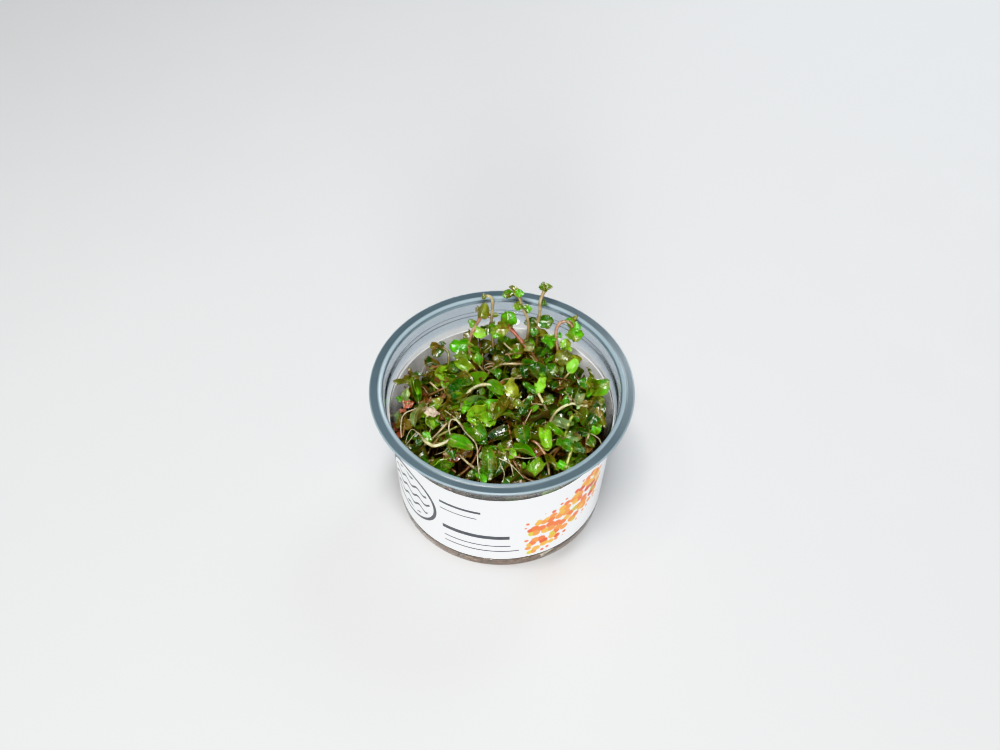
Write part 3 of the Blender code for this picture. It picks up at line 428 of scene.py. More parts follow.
# Uneven patterns on the surfaces, each as its scale per metre and its values where dark and light
PLASTIC_HAZE = (60.0, 0.03, 0.1)
PLASTIC_WAVES = (45.0, 0.0, 1.0)
RIM_CLOUDS = (40.0, 0.9, 1.1)
RIM_DULLNESS = (30.0, 0.28, 0.38)
PAPER_FIBRES = (700.0, 0.965, 1.0)
PAPER_DULLNESS = (500.0, 0.34, 0.46)
PAPER_GRAIN = (1500.0, 0.0, 1.0)
BACK_FIBRES = (900.0, 0.9, 1.0)
LEAF_LIGHTS = (300.0, 0.66, 1.38)
LEAF_SPOTS = (180.0, -0.4, 0.4)
LEAF_FLUSHES = (130.0, 0.45, -1.3)
LEAF_GRAIN = (700.0, 0.0, 0.5)
STEM_SPOTS = (260.0, -0.3, 0.45)
FELT_LIGHTS = (420.0, 0.35, 1.5)
FELT_DULLNESS = (300.0, 0.45, 0.75)
FELT_GRAIN = (500.0, 0.0, 1.0)
FLOOR_CLOUDS = (1.5, 0.97, 1.0)
FLOOR_DULLNESS = (40.0, 0.55, 0.65)
# Scales and spreads of the dullness of leaves and of strands, and the light along strands
LEAF_DULLNESS_SCALE = 500.0
LEAF_DULLNESS_SPREAD = (-0.08, 0.12)
STRAND_DULLNESS_SCALE = 600.0
STRAND_DULLNESS_SPREAD = (-0.08, 0.1)
STRAND_LIGHTS = (0.7, 1.25)
STRAND_GRAIN = 1.5
# Dullness, wetness and scale of streaks of a root's and of a stem's skin
ROOT_SKIN = (0.42, 0.2, 600.0)
STEM_SKIN = (0.36, 0.35, 420.0)
# Where a leaf's midrib, side vein and margin fade, on its map from edge to edge
RIB_EDGES = (0.02, 0.07)
VEIN_EDGE = 0.14
MARGIN_EDGE = 0.38

# Stage and camera
FLOOR_SIZE = 6.0
CAMERA_PLACE = (-0.00082, -0.4877, 0.6419)
CAMERA_LENS = 72.0
CAMERA_SENSOR = 36.0
CAMERA_ELEVATION = 49.65
CAMERA_ROLL = -0.98
LAMP_AIM = 0.03
# Each lamp's name, place, width, height, power and colour
LAMPS = (
    ("overhead_lamp", (-0.12, -0.22, 0.83), 0.5, 0.14, 9.8, (1.0, 0.99, 0.97)),
    ("front_lamp", (-0.05, -1.0, 0.36), 0.4, 0.4, 12.0, (1.0, 1.0, 1.0)),
    ("rim_lamp", (0.35, 0.55, 0.5), 0.25, 0.25, 4.0, (0.92, 0.96, 1.0)),
)

TONES = {
    "tan": (0.29, 0.245, 0.12),
    "cream": (0.46, 0.46, 0.25),
    "pink": (0.28, 0.155, 0.09),
    "bright": (0.062, 0.27, 0.012),
    "lime": (0.17, 0.39, 0.03),
    "mid": (0.027, 0.13, 0.008),
    "dark": (0.010, 0.055, 0.007),
    "olive": (0.095, 0.115, 0.015),
    "yellow": (0.19, 0.24, 0.025),
    "pale": (0.17, 0.27, 0.10),
    "rust": (0.11, 0.04, 0.02),
    "red": (0.30, 0.08, 0.06),
    # A pinkish leaf's tone, made paler to paint its highlight
    "blush_and_sheen": (0.56, 0.46, 0.38),
    "fresh": (0.34, 0.44, 0.09),
    "grey": (0.06, 0.05, 0.04),
}

# The shoots seen in the cup, from the back to the front. Each has its stem's radius, the
# foot of the stem on the root mat, the points that the stem passes through, and for each
# leaf the place of its tip, its width, form and tone, and its turn towards the front.
SHOOTS = (
    Shoot(
        "shoot_back_tall", 0.75, "tan", (11, 29),
        ((12.5, 34, 30), (13.6, 36.6, 50), (13.6, 38, 54), (14.4, 39.2, 60), (14.5, 41, 65), (16, 42.6, 69)),
        (
            Leaf((15.6, 44.2, 72), 3, "folded", "mid", 10),
            Leaf((19, 43.4, 70.4), 3, "folded", "bright", 10),
            Leaf((17.4, 41.6, 63), 2.6, "drooped", "mid"),
            Leaf((20.2, 38.4, 56), 5.6, "flat", "mid", 30),
            Leaf((8.6, 38.6, 54.6), 4.4, "flat", "dark", 20),
        ),
    ),
    Shoot(
        "shoot_back_pair", 0.7, "tan", (6, 25),
        ((8, 31, 36), (10, 37.2, 56), (8.2, 39.2, 61), (7, 40.8, 62.6), (6.4, 42.2, 65), (4.2, 43, 66.6)),
        (
            Leaf((-0.4, 43.4, 65.4), 3.2, "folded", "bright", 20),
            Leaf((1, 42, 65.2), 3.4, "cupped", "olive", 10),
            Leaf((4, 40.2, 61.8), 3.4, "curled", "bright", 20),
            Leaf((11.2, 40.8, 61.4), 3.8, "drooped", "bright", 10),
            Leaf((13.8, 36, 53), 4.2, "flat", "mid", 30),
        ),
    ),
    Shoot(
        "shoot_back_hook", 0.65, "tan", (-2, 24),
        (
            (-3, 31, 36), (-4.5, 38.6, 54), (-4.5, 39.6, 57),
            (-4.2, 41.8, 62.6), (-5, 42.6, 65), (-6.6, 42.8, 65.4),
        ),
        (
            Leaf((-8.4, 42.8, 64.2), 2.2, "curled", "olive"),
            Leaf((-7.2, 39.6, 57), 2.4, "drooped", "rust"),
            Leaf((-1.6, 40, 57.6), 2.4, "drooped", "olive"),
            Leaf((0.6, 37.6, 52.6), 5.2, "folded", "bright", 25),
            Leaf((-9.4, 37, 51.6), 4.4, "cupped", "mid", 20),
        ),
    ),
    Shoot(
        "shoot_back_left", 0.75, "pink", (-13, 15),
        ((-12, 20, 34), (-12.4, 25, 45), (-13, 31, 51), (-11.6, 34.4, 54.4), (-9.6, 37, 57), (-9, 38.2, 58)),
        (
            Leaf((-7.2, 41.2, 62.6), 4.2, "folded", "olive", 20),
            Leaf((-13.6, 36.6, 57), 3.6, "flat", "mid", 30),
            Leaf((-20.6, 29.4, 50.8), 7.4, "cupped", "bright", 30),
            Leaf((-6.4, 33.4, 52.4), 4.2, "flat", "lime", 35),
            Leaf((-18.8, 26, 48.6), 3.8, "drooped", "bright", 20),
            Leaf((-9.2, 28.4, 48.4), 4.2, "folded", "bright", 20),
        ),
    ),
    Shoot(
        "shoot_back_red_stem", 0.85, "red", (17, 12),
        (
            (17.4, 17, 30), (14.6, 23.6, 45), (10.4, 27.6, 50.4),
            (7, 30.4, 53.4), (3.4, 33.6, 56), (2, 34.6, 57),
        ),
        (
            Leaf((1.6, 38, 61.6), 6.4, "cupped", "bright", 10),
            Leaf((-2, 34, 57), 3.2, "drooped", "olive", 10),
            Leaf((-3.6, 31, 54.2), 5, "flat", "bright", 20),
            Leaf((8, 24.6, 46.6), 2.8, "folded", "yellow", 10),
            Leaf((10.6, 30.4, 52.4), 4, "cupped", "pale", 20),
        ),
    ),
    Shoot(
        "shoot_back_right_arch", 0.7, "pink", (25, 14),
        (
            (23.6, 19, 32), (22.6, 24.6, 48), (21.4, 28, 53), (20.8, 32, 57.4),
            (22.4, 33.6, 60.4), (25.6, 33.8, 60.8), (27.4, 32.4, 59.2),
        ),
        (
            Leaf((30.2, 31.8, 60.4), 4.4, "flat", "bright", 20),
            Leaf((28.2, 28.8, 54.8), 6.4, "folded", "bright"),
            Leaf((28.8, 34.6, 64), 1.8, "flat", "olive", 20),
            Leaf((15.2, 31.6, 52.6), 6.2, "folded", "bright", 30),
            Leaf((24.4, 26.6, 50.4), 3.2, "flat", "lime", 20),
        ),
    ),
    Shoot(
        "shoot_right_back", 0.7, "olive", (28, 10),
        ((27, 16, 32), (25.6, 21.6, 44), (25, 25.6, 50), (25.2, 27.6, 51.6)),
        (
            Leaf((24.2, 31.6, 53.8), 4.6, "flat", "lime", 10),
            Leaf((20, 23.6, 49.4), 5.4, "cupped", "olive", 25),
            Leaf((31, 23, 49.2), 6, "curled", "yellow", 25),
            Leaf((26.6, 19.6, 47), 4.4, "drooped", "dark"),
        ),
    ),
    Shoot(
        "shoot_right_wall", 0.65, "tan", (31, 2),
        ((33, 6, 32), (34.4, 9, 44), (35, 10.4, 50)),
        (
            Leaf((41.6, 9, 52.8), 7.2, "folded", "bright", 20),
            Leaf((33.6, 19, 51), 3.4, "cupped", "yellow", 20),
            Leaf((33, 5.6, 49.4), 3, "folded", "bright"),
            Leaf((29.2, 13.4, 49.6), 4.6, "flat", "mid", 30),
        ),
    ),
    Shoot(
        "shoot_right_cream_arch", 0.6, "cream", (13, -7),
        ((15, -7, 30), (18, -4.6, 43), (21.4, -0.8, 48), (27, 1.4, 50), (31, 0.6, 49.8), (34.4, 1.4, 49)),
        (
            Leaf((39.6, 3.8, 49), 5, "cupped", "olive", 30),
            Leaf((39.4, -6.4, 46), 3.6, "drooped", "olive", 20),
            Leaf((33, -7, 45.4), 6.4, "cupped", "dark"),
            Leaf((30, 7, 50), 3.6, "folded", "pale", 10),
            Leaf((23.6, 4.8, 48.6), 4.2, "flat", "mid", 30),
        ),
    ),
    Shoot(
        "shoot_right_green_stem", 0.7, "fresh", (23, -12),
        ((23.6, -12, 30), (24.4, -10, 43), (25.6, -6.6, 46.6), (27.2, -3, 48)),
        (
            Leaf((19.4, -4, 46.6), 3.8, "folded", "pale", 20),
            Leaf((30.4, -12, 45.4), 4.4, "flat", "pale", 20),
            Leaf((21.2, -13.8, 44), 3.4, "cupped", "bright"),
            Leaf((31.6, -3.6, 47.4), 4, "flat", "mid", 20),
        ),
    ),
    Shoot(
        "shoot_right_front", 0.65, "tan", (31, -13),
        ((32, -12, 30), (33.4, -9, 43), (33.6, -8, 44)),
        (
            Leaf((38.6, -5.6, 45), 4.4, "cupped", "bright", 30),
            Leaf((36, -14, 43.6), 4, "drooped", "mid"),
            Leaf((29, -7.6, 45), 4.4, "flat", "dark", 20),
        ),
    ),
    Shoot(
        "shoot_front_right_stem", 0.65, "fresh", (22, -24),
        ((23, -25, 30), (24.4, -24.4, 41.6), (26, -20.4, 45), (27, -17.4, 46.4)),
        (
            Leaf((23.2, -14.8, 47), 4.4, "folded", "mid", 20),
            Leaf((32, -17.2, 45.6), 5, "flat", "dark", 20),
            Leaf((21.6, -21.6, 43), 2.8, "folded", "bright", 20),
            Leaf((29, -25, 41), 4.2, "drooped", "mid"),
        ),
    ),
    Shoot(
        "shoot_front_lime_leaf", 0.6, "tan", (14, -20),
        ((15, -16, 30), (16.2, -11.4, 44), (16.6, -10.2, 46.6)),
        (
            Leaf((18.2, -16.8, 44), 4.6, "flat", "lime"),
            Leaf((13, -7.4, 47.4), 3.8, "cupped", "olive", 10),
            Leaf((20.4, -8, 47), 3, "drooped", "mid", 10),
        ),
    ),
    Shoot(
        "shoot_front_tan_stem", 0.6, "pink", (7, -23),
        ((8, -17, 30), (9.6, -12.6, 43.6), (13, -13.8, 45), (17, -18, 42.8)),
        (
            Leaf((21, -23, 41), 2.8, "folded", "olive", 10),
            Leaf((12.4, -19, 43), 3.6, "flat", "rust"),
            Leaf((6, -10.6, 44), 3.4, "flat", "mid", 20),
        ),
    ),
    Shoot(
        "shoot_middle_front", 0.6, "tan", (5, -10),
        ((5, -7, 30), (5.6, -4.6, 45), (6.4, -3.4, 48)),
        (
            Leaf((9.6, -14.6, 46), 6.2, "cupped", "mid"),
            Leaf((-0.4, -3, 48.2), 2.4, "folded", "bright", 10),
            Leaf((1, -13.6, 45), 4.2, "flat", "dark"),
            Leaf((11.4, 2.2, 49.6), 3.6, "drooped", "dark"),
        ),
    ),
    Shoot(
        "shoot_front_lying", 0.6, "pink", (-9, -20),
        ((-8, -20, 30), (-4.6, -18.8, 42), (0, -17.6, 44.4), (5, -17, 45)),
        (
            Leaf((13, -20.4, 44.4), 2.8, "folded", "bright", 10),
            Leaf((9, -14.9, 42.4), 2.8, "flat", "pale", 10),
            Leaf((-5.4, -23.4, 41.4), 4.2, "flat", "pale"),
            Leaf((2.4, -24.6, 41.6), 3.6, "drooped", "mid"),
        ),
        (((4, -17, 44.6), (1.4, -19.4, 44.8), (3.6, -22.6, 43.4), (5.2, -26.4, 38)),),
    ),
    Shoot(
        "shoot_front_low", 0.6, "tan", (10, -28),
        ((9, -25, 26), (7.6, -20, 39)),
        (
            Leaf((5.4, -27.6, 38.6), 6.4, "flat", "dark"),
            Leaf((13.6, -25.4, 38.6), 3.2, "folded", "dark"),
            Leaf((2.6, -18.6, 39.4), 3.4, "flat", "mid"),
        ),
    ),
    Shoot(
        "shoot_front_edge", 0.55, "cream", (-8, -28),
        ((-9, -26, 28), (-8, -24, 41.4)),
        (
            Leaf((-5.6, -30.6, 40.6), 3.8, "flat", "bright"),
            Leaf((-12.6, -27.6, 40), 4.2, "drooped", "dark"),
            Leaf((-3, -26, 42), 3, "cupped", "mid"),
        ),
    ),
    Shoot(
        "shoot_left_u_stem", 0.7, "cream", (-31, -4),
        (
            (-31.4, -6, 30), (-30.6, -10, 42.6), (-28.8, -14, 44.4),
            (-25.4, -16, 44.4), (-21.6, -15.4, 45.6), (-18.8, -14, 46.4),
        ),
        (
            Leaf((-10.6, -18, 46.2), 5, "folded", "bright"),
            Leaf((-17, -21, 43), 4, "drooped", "dark"),
            Leaf((-26.6, -11.8, 45.6), 5, "cupped", "bright", 10),
            Leaf((-33, -14.4, 42.6), 2.6, "flat", "dark"),
        ),
        (
            (
                (-18.8, -14, 46.6), (-20, -10, 48.6), (-18.6, -7, 50), (-16.8, -8, 49.6),
                (-13.4, -12.6, 48.4), (-9.4, -18, 48.2), (-8.6, -24, 44), (-7.8, -30.4, 43.4),
            ),
        ),
    ),
    Shoot(
        "shoot_left_glossy", 0.65, "tan", (-26, 5),
        ((-27, 3, 30), (-28.6, 0.6, 44), (-28.8, -1, 48.4)),
        (
            Leaf((-26.4, -9.8, 47.4), 6.6, "cupped", "lime"),
            Leaf((-33.6, -8.4, 46.4), 3.6, "folded", "pale"),
            Leaf((-30.4, 3.8, 49.2), 3.6, "drooped", "rust", 10),
            Leaf((-23.6, 3.6, 49.2), 4.6, "flat", "lime", 20),
        ),
        (((-29, 0, 48.6), (-34, -1.6, 48.2), (-37.4, -3.4, 47.6), (-38.4, -8, 46), (-38, -12, 44)),),
    ),
    Shoot(
        "shoot_left_far", 0.65, "olive", (-32, 5),
        ((-33.4, 8, 30), (-35, 11.6, 47), (-35.2, 12.8, 50.6)),
        (
            Leaf((-42, 8.6, 52.4), 3.6, "flat", "dark", 30),
            Leaf((-32.4, 5, 49.8), 3.8, "folded", "bright"),
            Leaf((-29.6, 15.6, 49.8), 3.6, "flat", "dark", 20),
        ),
    ),
    Shoot(
        "shoot_left_pink", 0.6, "pink", (-35, -3),
        ((-36.4, 0, 30), (-37.6, 3.4, 44), (-38, 4.8, 46.4)),
        (
            Leaf((-33.8, 3.4, 46.8), 3, "flat", "red", 20),
            Leaf((-41, 5.8, 46.8), 3, "cupped", "bright", 20),
            Leaf((-36.2, 9, 48.6), 3.2, "flat", "pale", 10),
            Leaf((-39.4, 0.4, 44), 2.4, "drooped", "red"),
        ),
    ),
    Shoot(
        "shoot_left_wall", 0.6, "tan", (-34, -10),
        ((-37, -7, 30), (-38.4, -3.6, 41.6)),
        (
            Leaf((-40.6, 2.4, 42.6), 3.8, "flat", "pale", 20),
            Leaf((-39, -9.6, 41), 3.4, "flat", "red"),
            Leaf((-34, -5.6, 43.4), 3.8, "cupped", "olive", 10),
        ),
    ),
    Shoot(
        "shoot_left_big_leaf", 0.7, "tan", (-18, 5),
        ((-18.4, 7, 30), (-17, 10, 45), (-16.6, 11.8, 50)),
        (
            Leaf((-20.6, 3.6, 49.4), 6.8, "cupped", "dark"),
            Leaf((-11.2, 11, 51.4), 6, "folded", "mid", 30),
            Leaf((-22.4, 14.4, 49.8), 4.4, "flat", "mid", 20),
        ),
    ),
    Shoot(
        "shoot_middle_arch", 0.75, "cream", (-16, -5),
        (
            (-16.4, -2, 30), (-15.6, 1, 45.6), (-14, 3.6, 50.4),
            (-10, 6.8, 52.6), (-5.4, 7.8, 52.8), (-2, 7, 52),
        ),
        (
            Leaf((-0.4, 1.2, 51.6), 3.8, "folded", "bright"),
            Leaf((1, 9.8, 53), 2.8, "cupped", "red", 10),
            Leaf((-5, 3, 50.6), 2.6, "folded", "bright", 30),
            Leaf((-12, 0, 49.8), 3.8, "cupped", "pale", 10),
        ),
    ),
    Shoot(
        "shoot_middle_lime", 0.65, "lime", (-4, -9),
        ((-4, -7.4, 30), (-4.4, -4, 45.6), (-4.8, -2.6, 50)),
        (
            Leaf((-13, -6.6, 50.2), 8.2, "cupped", "lime", 35),
            Leaf((-5.6, -9.2, 48.2), 5.6, "flat", "lime"),
            Leaf((-0.2, -1, 50.4), 4.4, "drooped", "olive", 10),
        ),
    ),
    Shoot(
        "shoot_middle_yellow", 0.65, "olive", (2, -1),
        ((1.6, -2, 30), (2.4, -1.4, 46), (3.8, 1, 50), (5, 3, 51.6)),
        (
            Leaf((3.4, 9.6, 54.2), 5.6, "curled", "yellow"),
            Leaf((-0.6, 0.6, 52), 4.6, "cupped", "olive", 20),
            Leaf((8.4, -1.4, 50.4), 3.8, "drooped", "olive", 40),
        ),
    ),
    Shoot(
        "shoot_middle_right", 0.6, "cream", (20, -3),
        ((19.4, -1, 30), (17.4, 1, 46), (14, 6, 50.4)),
        (
            Leaf((16.4, 12.6, 52.8), 4, "flat", "lime", -10),
            Leaf((8.2, 9.4, 51.6), 3.8, "flat", "mid", 20),
            Leaf((20.4, 5.6, 48.8), 3.6, "flat", "mid", 20),
        ),
    ),
    Shoot(
        "shoot_middle_back", 0.55, "tan", (-6, 11),
        ((-6.6, 14, 30), (-6, 18.6, 45), (-1, 20.6, 49.6), (4, 20.8, 50.2), (8, 21, 50)),
        (
            Leaf((13.2, 20.8, 50), 4.8, "cupped", "mid", 30),
            Leaf((9.4, 15.4, 48.8), 3.8, "flat", "dark"),
            Leaf((-2, 26, 50), 4.2, "flat", "olive"),
            Leaf((-1, 14.6, 48.6), 4, "drooped", "mid"),
        ),
    ),
    Shoot(
        "shoot_left_back", 0.6, "olive", (-22, 12),
        ((-22.4, 15, 30), (-21.6, 20, 45), (-21, 22.6, 48.6), (-21.4, 26, 50.6), (-24.4, 28.6, 51)),
        (
            Leaf((-26.2, 17.6, 47), 6, "cupped", "lime", 20),
            Leaf((-17.4, 19.6, 47.6), 3.8, "flat", "mid", 10),
            Leaf((-27, 24.4, 49), 4.4, "flat", "dark", 20),
            Leaf((-28.6, 29.4, 50), 2.4, "folded", "olive", 10),
        ),
    ),
    Shoot(
        "shoot_left_inner", 0.6, "tan", (-28, 9),
        ((-28.4, 10, 28), (-27.6, 11.6, 42)),
        (
            Leaf((-32.4, 16, 43.6), 5, "flat", "dark"),
            Leaf((-23, 11, 44), 5, "flat", "dark"),
            Leaf((-29.4, 5.4, 43), 4.4, "drooped", "rust"),
        ),
    ),
    Shoot(
        "shoot_right_inner", 0.65, "rust", (22, 3),
        ((22.4, 6, 28), (23, 12, 44), (22, 18, 48)),
        (
            Leaf((19.2, 11, 47.4), 3.6, "folded", "dark"),
            Leaf((27.8, 10, 46.6), 4.4, "flat", "mid", 20),
            Leaf((17, 21.6, 48.6), 4, "flat", "mid", 20),
            Leaf((23.8, 24, 49), 3.6, "cupped", "dark"),
        ),
    ),
    Shoot(
        "shoot_left_middle", 0.65, "tan", (-21, -6),
        ((-21.6, -5, 28), (-21.4, -3, 42), (-20.4, -2.4, 45)),
        (
            Leaf((-25.6, -0.8, 46.4), 4.2, "flat", "rust", 10),
            Leaf((-16.4, -2, 46.8), 4.2, "flat", "olive", 20),
            Leaf((-19.8, 1.8, 47.2), 3.6, "cupped", "mid"),
        ),
    ),
    Shoot(
        "shoot_left_front", 0.6, "rust", (-25, -22),
        ((-26, -20.6, 26), (-27, -18, 36.6)),
        (
            Leaf((-31, -20.4, 38.4), 4.4, "flat", "mid"),
            Leaf((-22.6, -20.4, 38), 4.4, "flat", "rust"),
            Leaf((-27.4, -24.6, 36.6), 4, "drooped", "dark"),
        ),
    ),
    Shoot(
        "shoot_middle_dark", 0.6, "tan", (-12, -14),
        ((-12, -12.6, 28), (-10.8, -10.2, 42.6), (-10.2, -9.6, 44.4)),
        (
            Leaf((-14.6, -9.4, 45.2), 4.4, "flat", "mid"),
            Leaf((-5.4, -14.4, 44.4), 5.2, "flat", "dark"),
            Leaf((-11.6, -15.4, 42.4), 4.4, "drooped", "dark"),
        ),
    ),
    Shoot(
        "shoot_front_left", 0.6, "pink", (-18, -26),
        ((-18.6, -25, 26), (-19, -24, 35)),
        (
            Leaf((-14.8, -27, 36.6), 4.4, "flat", "mid"),
            Leaf((-23.4, -26.6, 36), 4.2, "flat", "dark"),
            Leaf((-18.6, -29.4, 35.4), 3.8, "drooped", "rust"),
        ),
    ),
    Shoot(
        "shoot_left_front_wall", 0.6, "tan", (-31, -15),
        ((-33, -14.6, 26), (-34, -14, 37)),
        (
            Leaf((-37.4, -10.6, 38.4), 4.2, "flat", "olive"),
            Leaf((-32.8, -19.4, 38), 4.2, "flat", "mid"),
            Leaf((-30, -12, 38.6), 3.6, "cupped", "dark"),
        ),
    ),
    Shoot(
        "shoot_front_right", 0.6, "tan", (16, -30),
        ((16.6, -28, 26), (17, -26.4, 36.6)),
        (
            Leaf((20.8, -29, 37), 4.2, "flat", "dark"),
            Leaf((13, -29.6, 37), 4, "flat", "mid"),
            Leaf((17.4, -22.4, 38), 3.8, "cupped", "dark"),
        ),
    ),
    Shoot(
        "shoot_right_deep", 0.6, "rust", (33, 10),
        ((35, 13, 28), (35.4, 16, 41)),
        (
            Leaf((38.4, 11.6, 42.4), 4, "flat", "mid"),
            Leaf((31.4, 18.4, 43), 4, "flat", "dark"),
            Leaf((34.6, 20.6, 42.6), 3.6, "cupped", "olive"),
        ),
    ),
    Shoot(
        "shoot_back_deep", 0.6, "rust", (0, 31),
        ((0, 32, 28), (-1, 33, 42)),
        (
            Leaf((-5.6, 32.6, 44), 4.4, "flat", "dark"),
            Leaf((3.8, 32.6, 44), 4.4, "flat", "mid"),
            Leaf((-1, 28.4, 44.4), 4, "cupped", "dark"),
        ),
    ),
)


# Tools for making pieces


def start():
    """Object mode with nothing selected, so that an operator acts only on what it adds."""
    if bpy.context.mode != "OBJECT":
        bpy.ops.object.mode_set(mode="OBJECT")
    bpy.ops.object.select_all(action="DESELECT")


def only(*things):
    """Select these objects alone, with the first one active."""
    start()
    for thing in things:
        thing.select_set(True)
    bpy.context.view_layer.objects.active = things[0]


def named(name):
    """The object that an operator has just added, under its own name."""
    thing = bpy.context.object
    thing.name = name
    thing.data.name = name
    return thing


def mark(thing, test):
    """In edit mode, select the vertices that pass the test."""
    sheet = bmesh.from_edit_mesh(thing.data)
    sheet.verts.ensure_lookup_table()
    for vertex in sheet.verts:
        vertex.select = test(vertex)
    sheet.select_flush_mode()
    bmesh.update_edit_mesh(thing.data)


def place_of(thing, number):
    """In edit mode, where the vertex of this number is."""
    sheet = bmesh.from_edit_mesh(thing.data)
    sheet.verts.ensure_lookup_table()
    return sheet.verts[number].co.copy()


def settle_modifiers(thing):
    """Apply every modifier of the object, in order."""
    only(thing)
    for modifier in list(thing.modifiers):
        bpy.ops.object.modifier_apply(modifier=modifier.name)


def smooth(thing, degrees):
    only(thing)
    bpy.ops.object.shade_smooth_by_angle(angle=math.radians(degrees))


def joined(name, parts):
    """The parts as one object."""
    only(*parts)
    if len(parts) > 1:
        bpy.ops.object.join()
    return named(name)


def paint(mesh, tone, light=1.0):
    """Give every point of the mesh this colour, or its own colour from a list, and its share of light, a
    painted shade kept in the fourth channel.
    """
    layer = mesh.attributes.get("tone") or mesh.attributes.new("tone", "FLOAT_COLOR", "POINT")
    tones = np.ones((len(mesh.vertices), 4), np.float32)
    tones[:, :3] = tone
    tones[:, 3] = light
    layer.data.foreach_set("color", tones.ravel())


def turned(name, profile, steps):
    """A closed piece turned about Z from its half section, given as (radius, height) in millimetres."""
    start()
    bpy.ops.mesh.primitive_plane_add(size=MM)
    thing = named(name)
    bpy.ops.object.mode_set(mode="EDIT")
    bpy.ops.mesh.merge(type="CENTER")
    places = [Vector((radius, 0, height)) * MM for radius, height in profile]
    bpy.ops.transform.translate(value=places[0])
    for place, following in zip(places, places[1:]):
        bpy.ops.mesh.extrude_region_move(TRANSFORM_OT_translate={"value": following - place})
    bpy.ops.mesh.select_all(action="SELECT")
    bpy.ops.mesh.spin(steps=steps, angle=2 * math.pi, center=(0, 0, 0), axis=(0, 0, 1))
    bpy.ops.mesh.select_all(action="SELECT")
    bpy.ops.mesh.remove_doubles(threshold=TURNED_WELD)
    bpy.ops.mesh.normals_make_consistent(inside=False)
    bpy.ops.object.mode_set(mode="OBJECT")
    return thing


def strand(name, route, radii, detail):
    """A tube along a route in millimetres, with a radius for each of its points."""
    start()
    bpy.ops.curve.primitive_bezier_curve_add()
    thing = named(name)
    curve = thing.data
    curve.splines.clear()
    line = curve.splines.new("POLY")
    line.points.add(len(route) - 1)
    for point, place, radius in zip(line.points, route, radii):
        point.co = (*(Vector(place) * MM), 1)
        point.radius = radius
    curve.bevel_depth = MM
    curve.bevel_resolution = detail
    curve.use_fill_caps = True
    bpy.ops.object.convert(target="MESH")
    bpy.ops.object.mode_set(mode="EDIT")
    bpy.ops.mesh.select_all(action="SELECT")
    bpy.ops.mesh.remove_doubles(threshold=STRAND_WELD)
    bpy.ops.object.mode_set(mode="OBJECT")
    bpy.ops.object.shade_smooth()
    return bpy.context.object


def round_axis(radius, bearing, height):
    """A place at this distance and bearing from the cup's axis, given in millimetres."""
    return Vector((radius * math.cos(bearing), radius * math.sin(bearing), height)) * MM


def towards(bearing, rise=0):
    """The way that a bearing points, with its rise for each unit of reach."""
    return Vector((math.cos(bearing), math.sin(bearing), rise))


def lengths_along(points):
    """How far each of the points lies along the line through them."""
    return np.concatenate([[0], np.cumsum(np.linalg.norm(np.diff(points, axis=0), axis=1))])


def hand_in(piece, slot, *nodes):
    """The piece moves with the object and stands for the solids, which are hidden. The slot is not used."""
    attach(piece, "root")
    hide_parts(*nodes)


# Tools for materials


def put(tree, kind, **settings):
    """A new shader node with these attributes."""
    made = tree.nodes.new("ShaderNode" + kind)
    for name, value in settings.items():
        setattr(made, name, value)
    return made


def feed(tree, socket, value):
    """Link an output to the input, or set the input's own value."""
    if isinstance(value, bpy.types.NodeSocket):
        tree.links.new(value, socket)
    else:
        socket.default_value = value


def work(tree, operation, *values):
    """The result of a Math node over values and outputs."""
    made = put(tree, "Math", operation=operation)
    for socket, value in zip(made.inputs, values):
        feed(tree, socket, value)
    return made.outputs[0]


def between(tree, value, low, high, to_low=0.0, to_high=1.0):
    """The value eased from one range to another."""
    made = put(tree, "MapRange", interpolation_type="SMOOTHSTEP")
    for socket, given in zip(made.inputs, (value, low, high, to_low, to_high)):
        feed(tree, socket, given)
    return made.outputs[0]


def blended(tree, factor, first, second, blend="MIX"):
    """Two colours mixed. A colour is an output or three numbers."""
    made = put(tree, "Mix", data_type="RGBA", blend_type=blend)
    feed(tree, made.inputs[0], factor)
    for socket, colour in ((made.inputs[6], first), (made.inputs[7], second)):
        feed(tree, socket, colour if isinstance(colour, bpy.types.NodeSocket) else (*colour, 1))
    return made.outputs[2]


def height_in_cup(tree):
    """How high a point of the surface lies over the table, in metres."""
    place = put(tree, "SeparateXYZ")
    tree.links.new(put(tree, "TexCoord").outputs["Object"], place.inputs[0])
    return place.outputs[2]


def lit(tree, colour, light):
    """A colour times a share of light, which is a random mottle on most surfaces and a painted shade on the
    leaves and the label's back.
    """
    return blended(tree, 1.0, colour, light, "MULTIPLY")


def cover(tree, shader, colour, dullness):
    """Give the shader its colour and how dull it is."""
    feed(tree, shader.inputs["Base Color"], colour)
    feed(tree, shader.inputs["Roughness"], dullness)


def relief(tree, shader, height, strength, depth):
    """Bump on the shader from a height, with its depth in millimetres."""
    bump = put(tree, "Bump")
    feed(tree, bump.inputs["Height"], height)
    bump.inputs["Strength"].default_value = strength
    bump.inputs["Distance"].default_value = depth * MM
    for socket in ("Normal", "Coat Normal"):
        tree.links.new(bump.outputs[0], shader.inputs[socket])


def finish(name, values):
    """A Principled material whose sockets have these values, with its tree and its shader."""
    material = bpy.data.materials.new(name)
    material.use_nodes = True
    tree = material.node_tree
    shader = tree.nodes["Principled BSDF"]
    for socket, value in values.items():
        shader.inputs[socket].default_value = value
    return material, tree, shader


def group_tree(name, inputs, outputs):
    """An empty node group with these inputs and their values, and these outputs."""
    tree = bpy.data.node_groups.new(name, "ShaderNodeTree")
    for label, value in inputs.items():
        socket = tree.interface.new_socket(label, in_out="INPUT", socket_type="NodeSocketFloat")
        socket.default_value = value
    for label in outputs:
        tree.interface.new_socket(label, in_out="OUTPUT", socket_type="NodeSocketFloat")
    return tree, tree.nodes.new("NodeGroupInput").outputs, tree.nodes.new("NodeGroupOutput").inputs


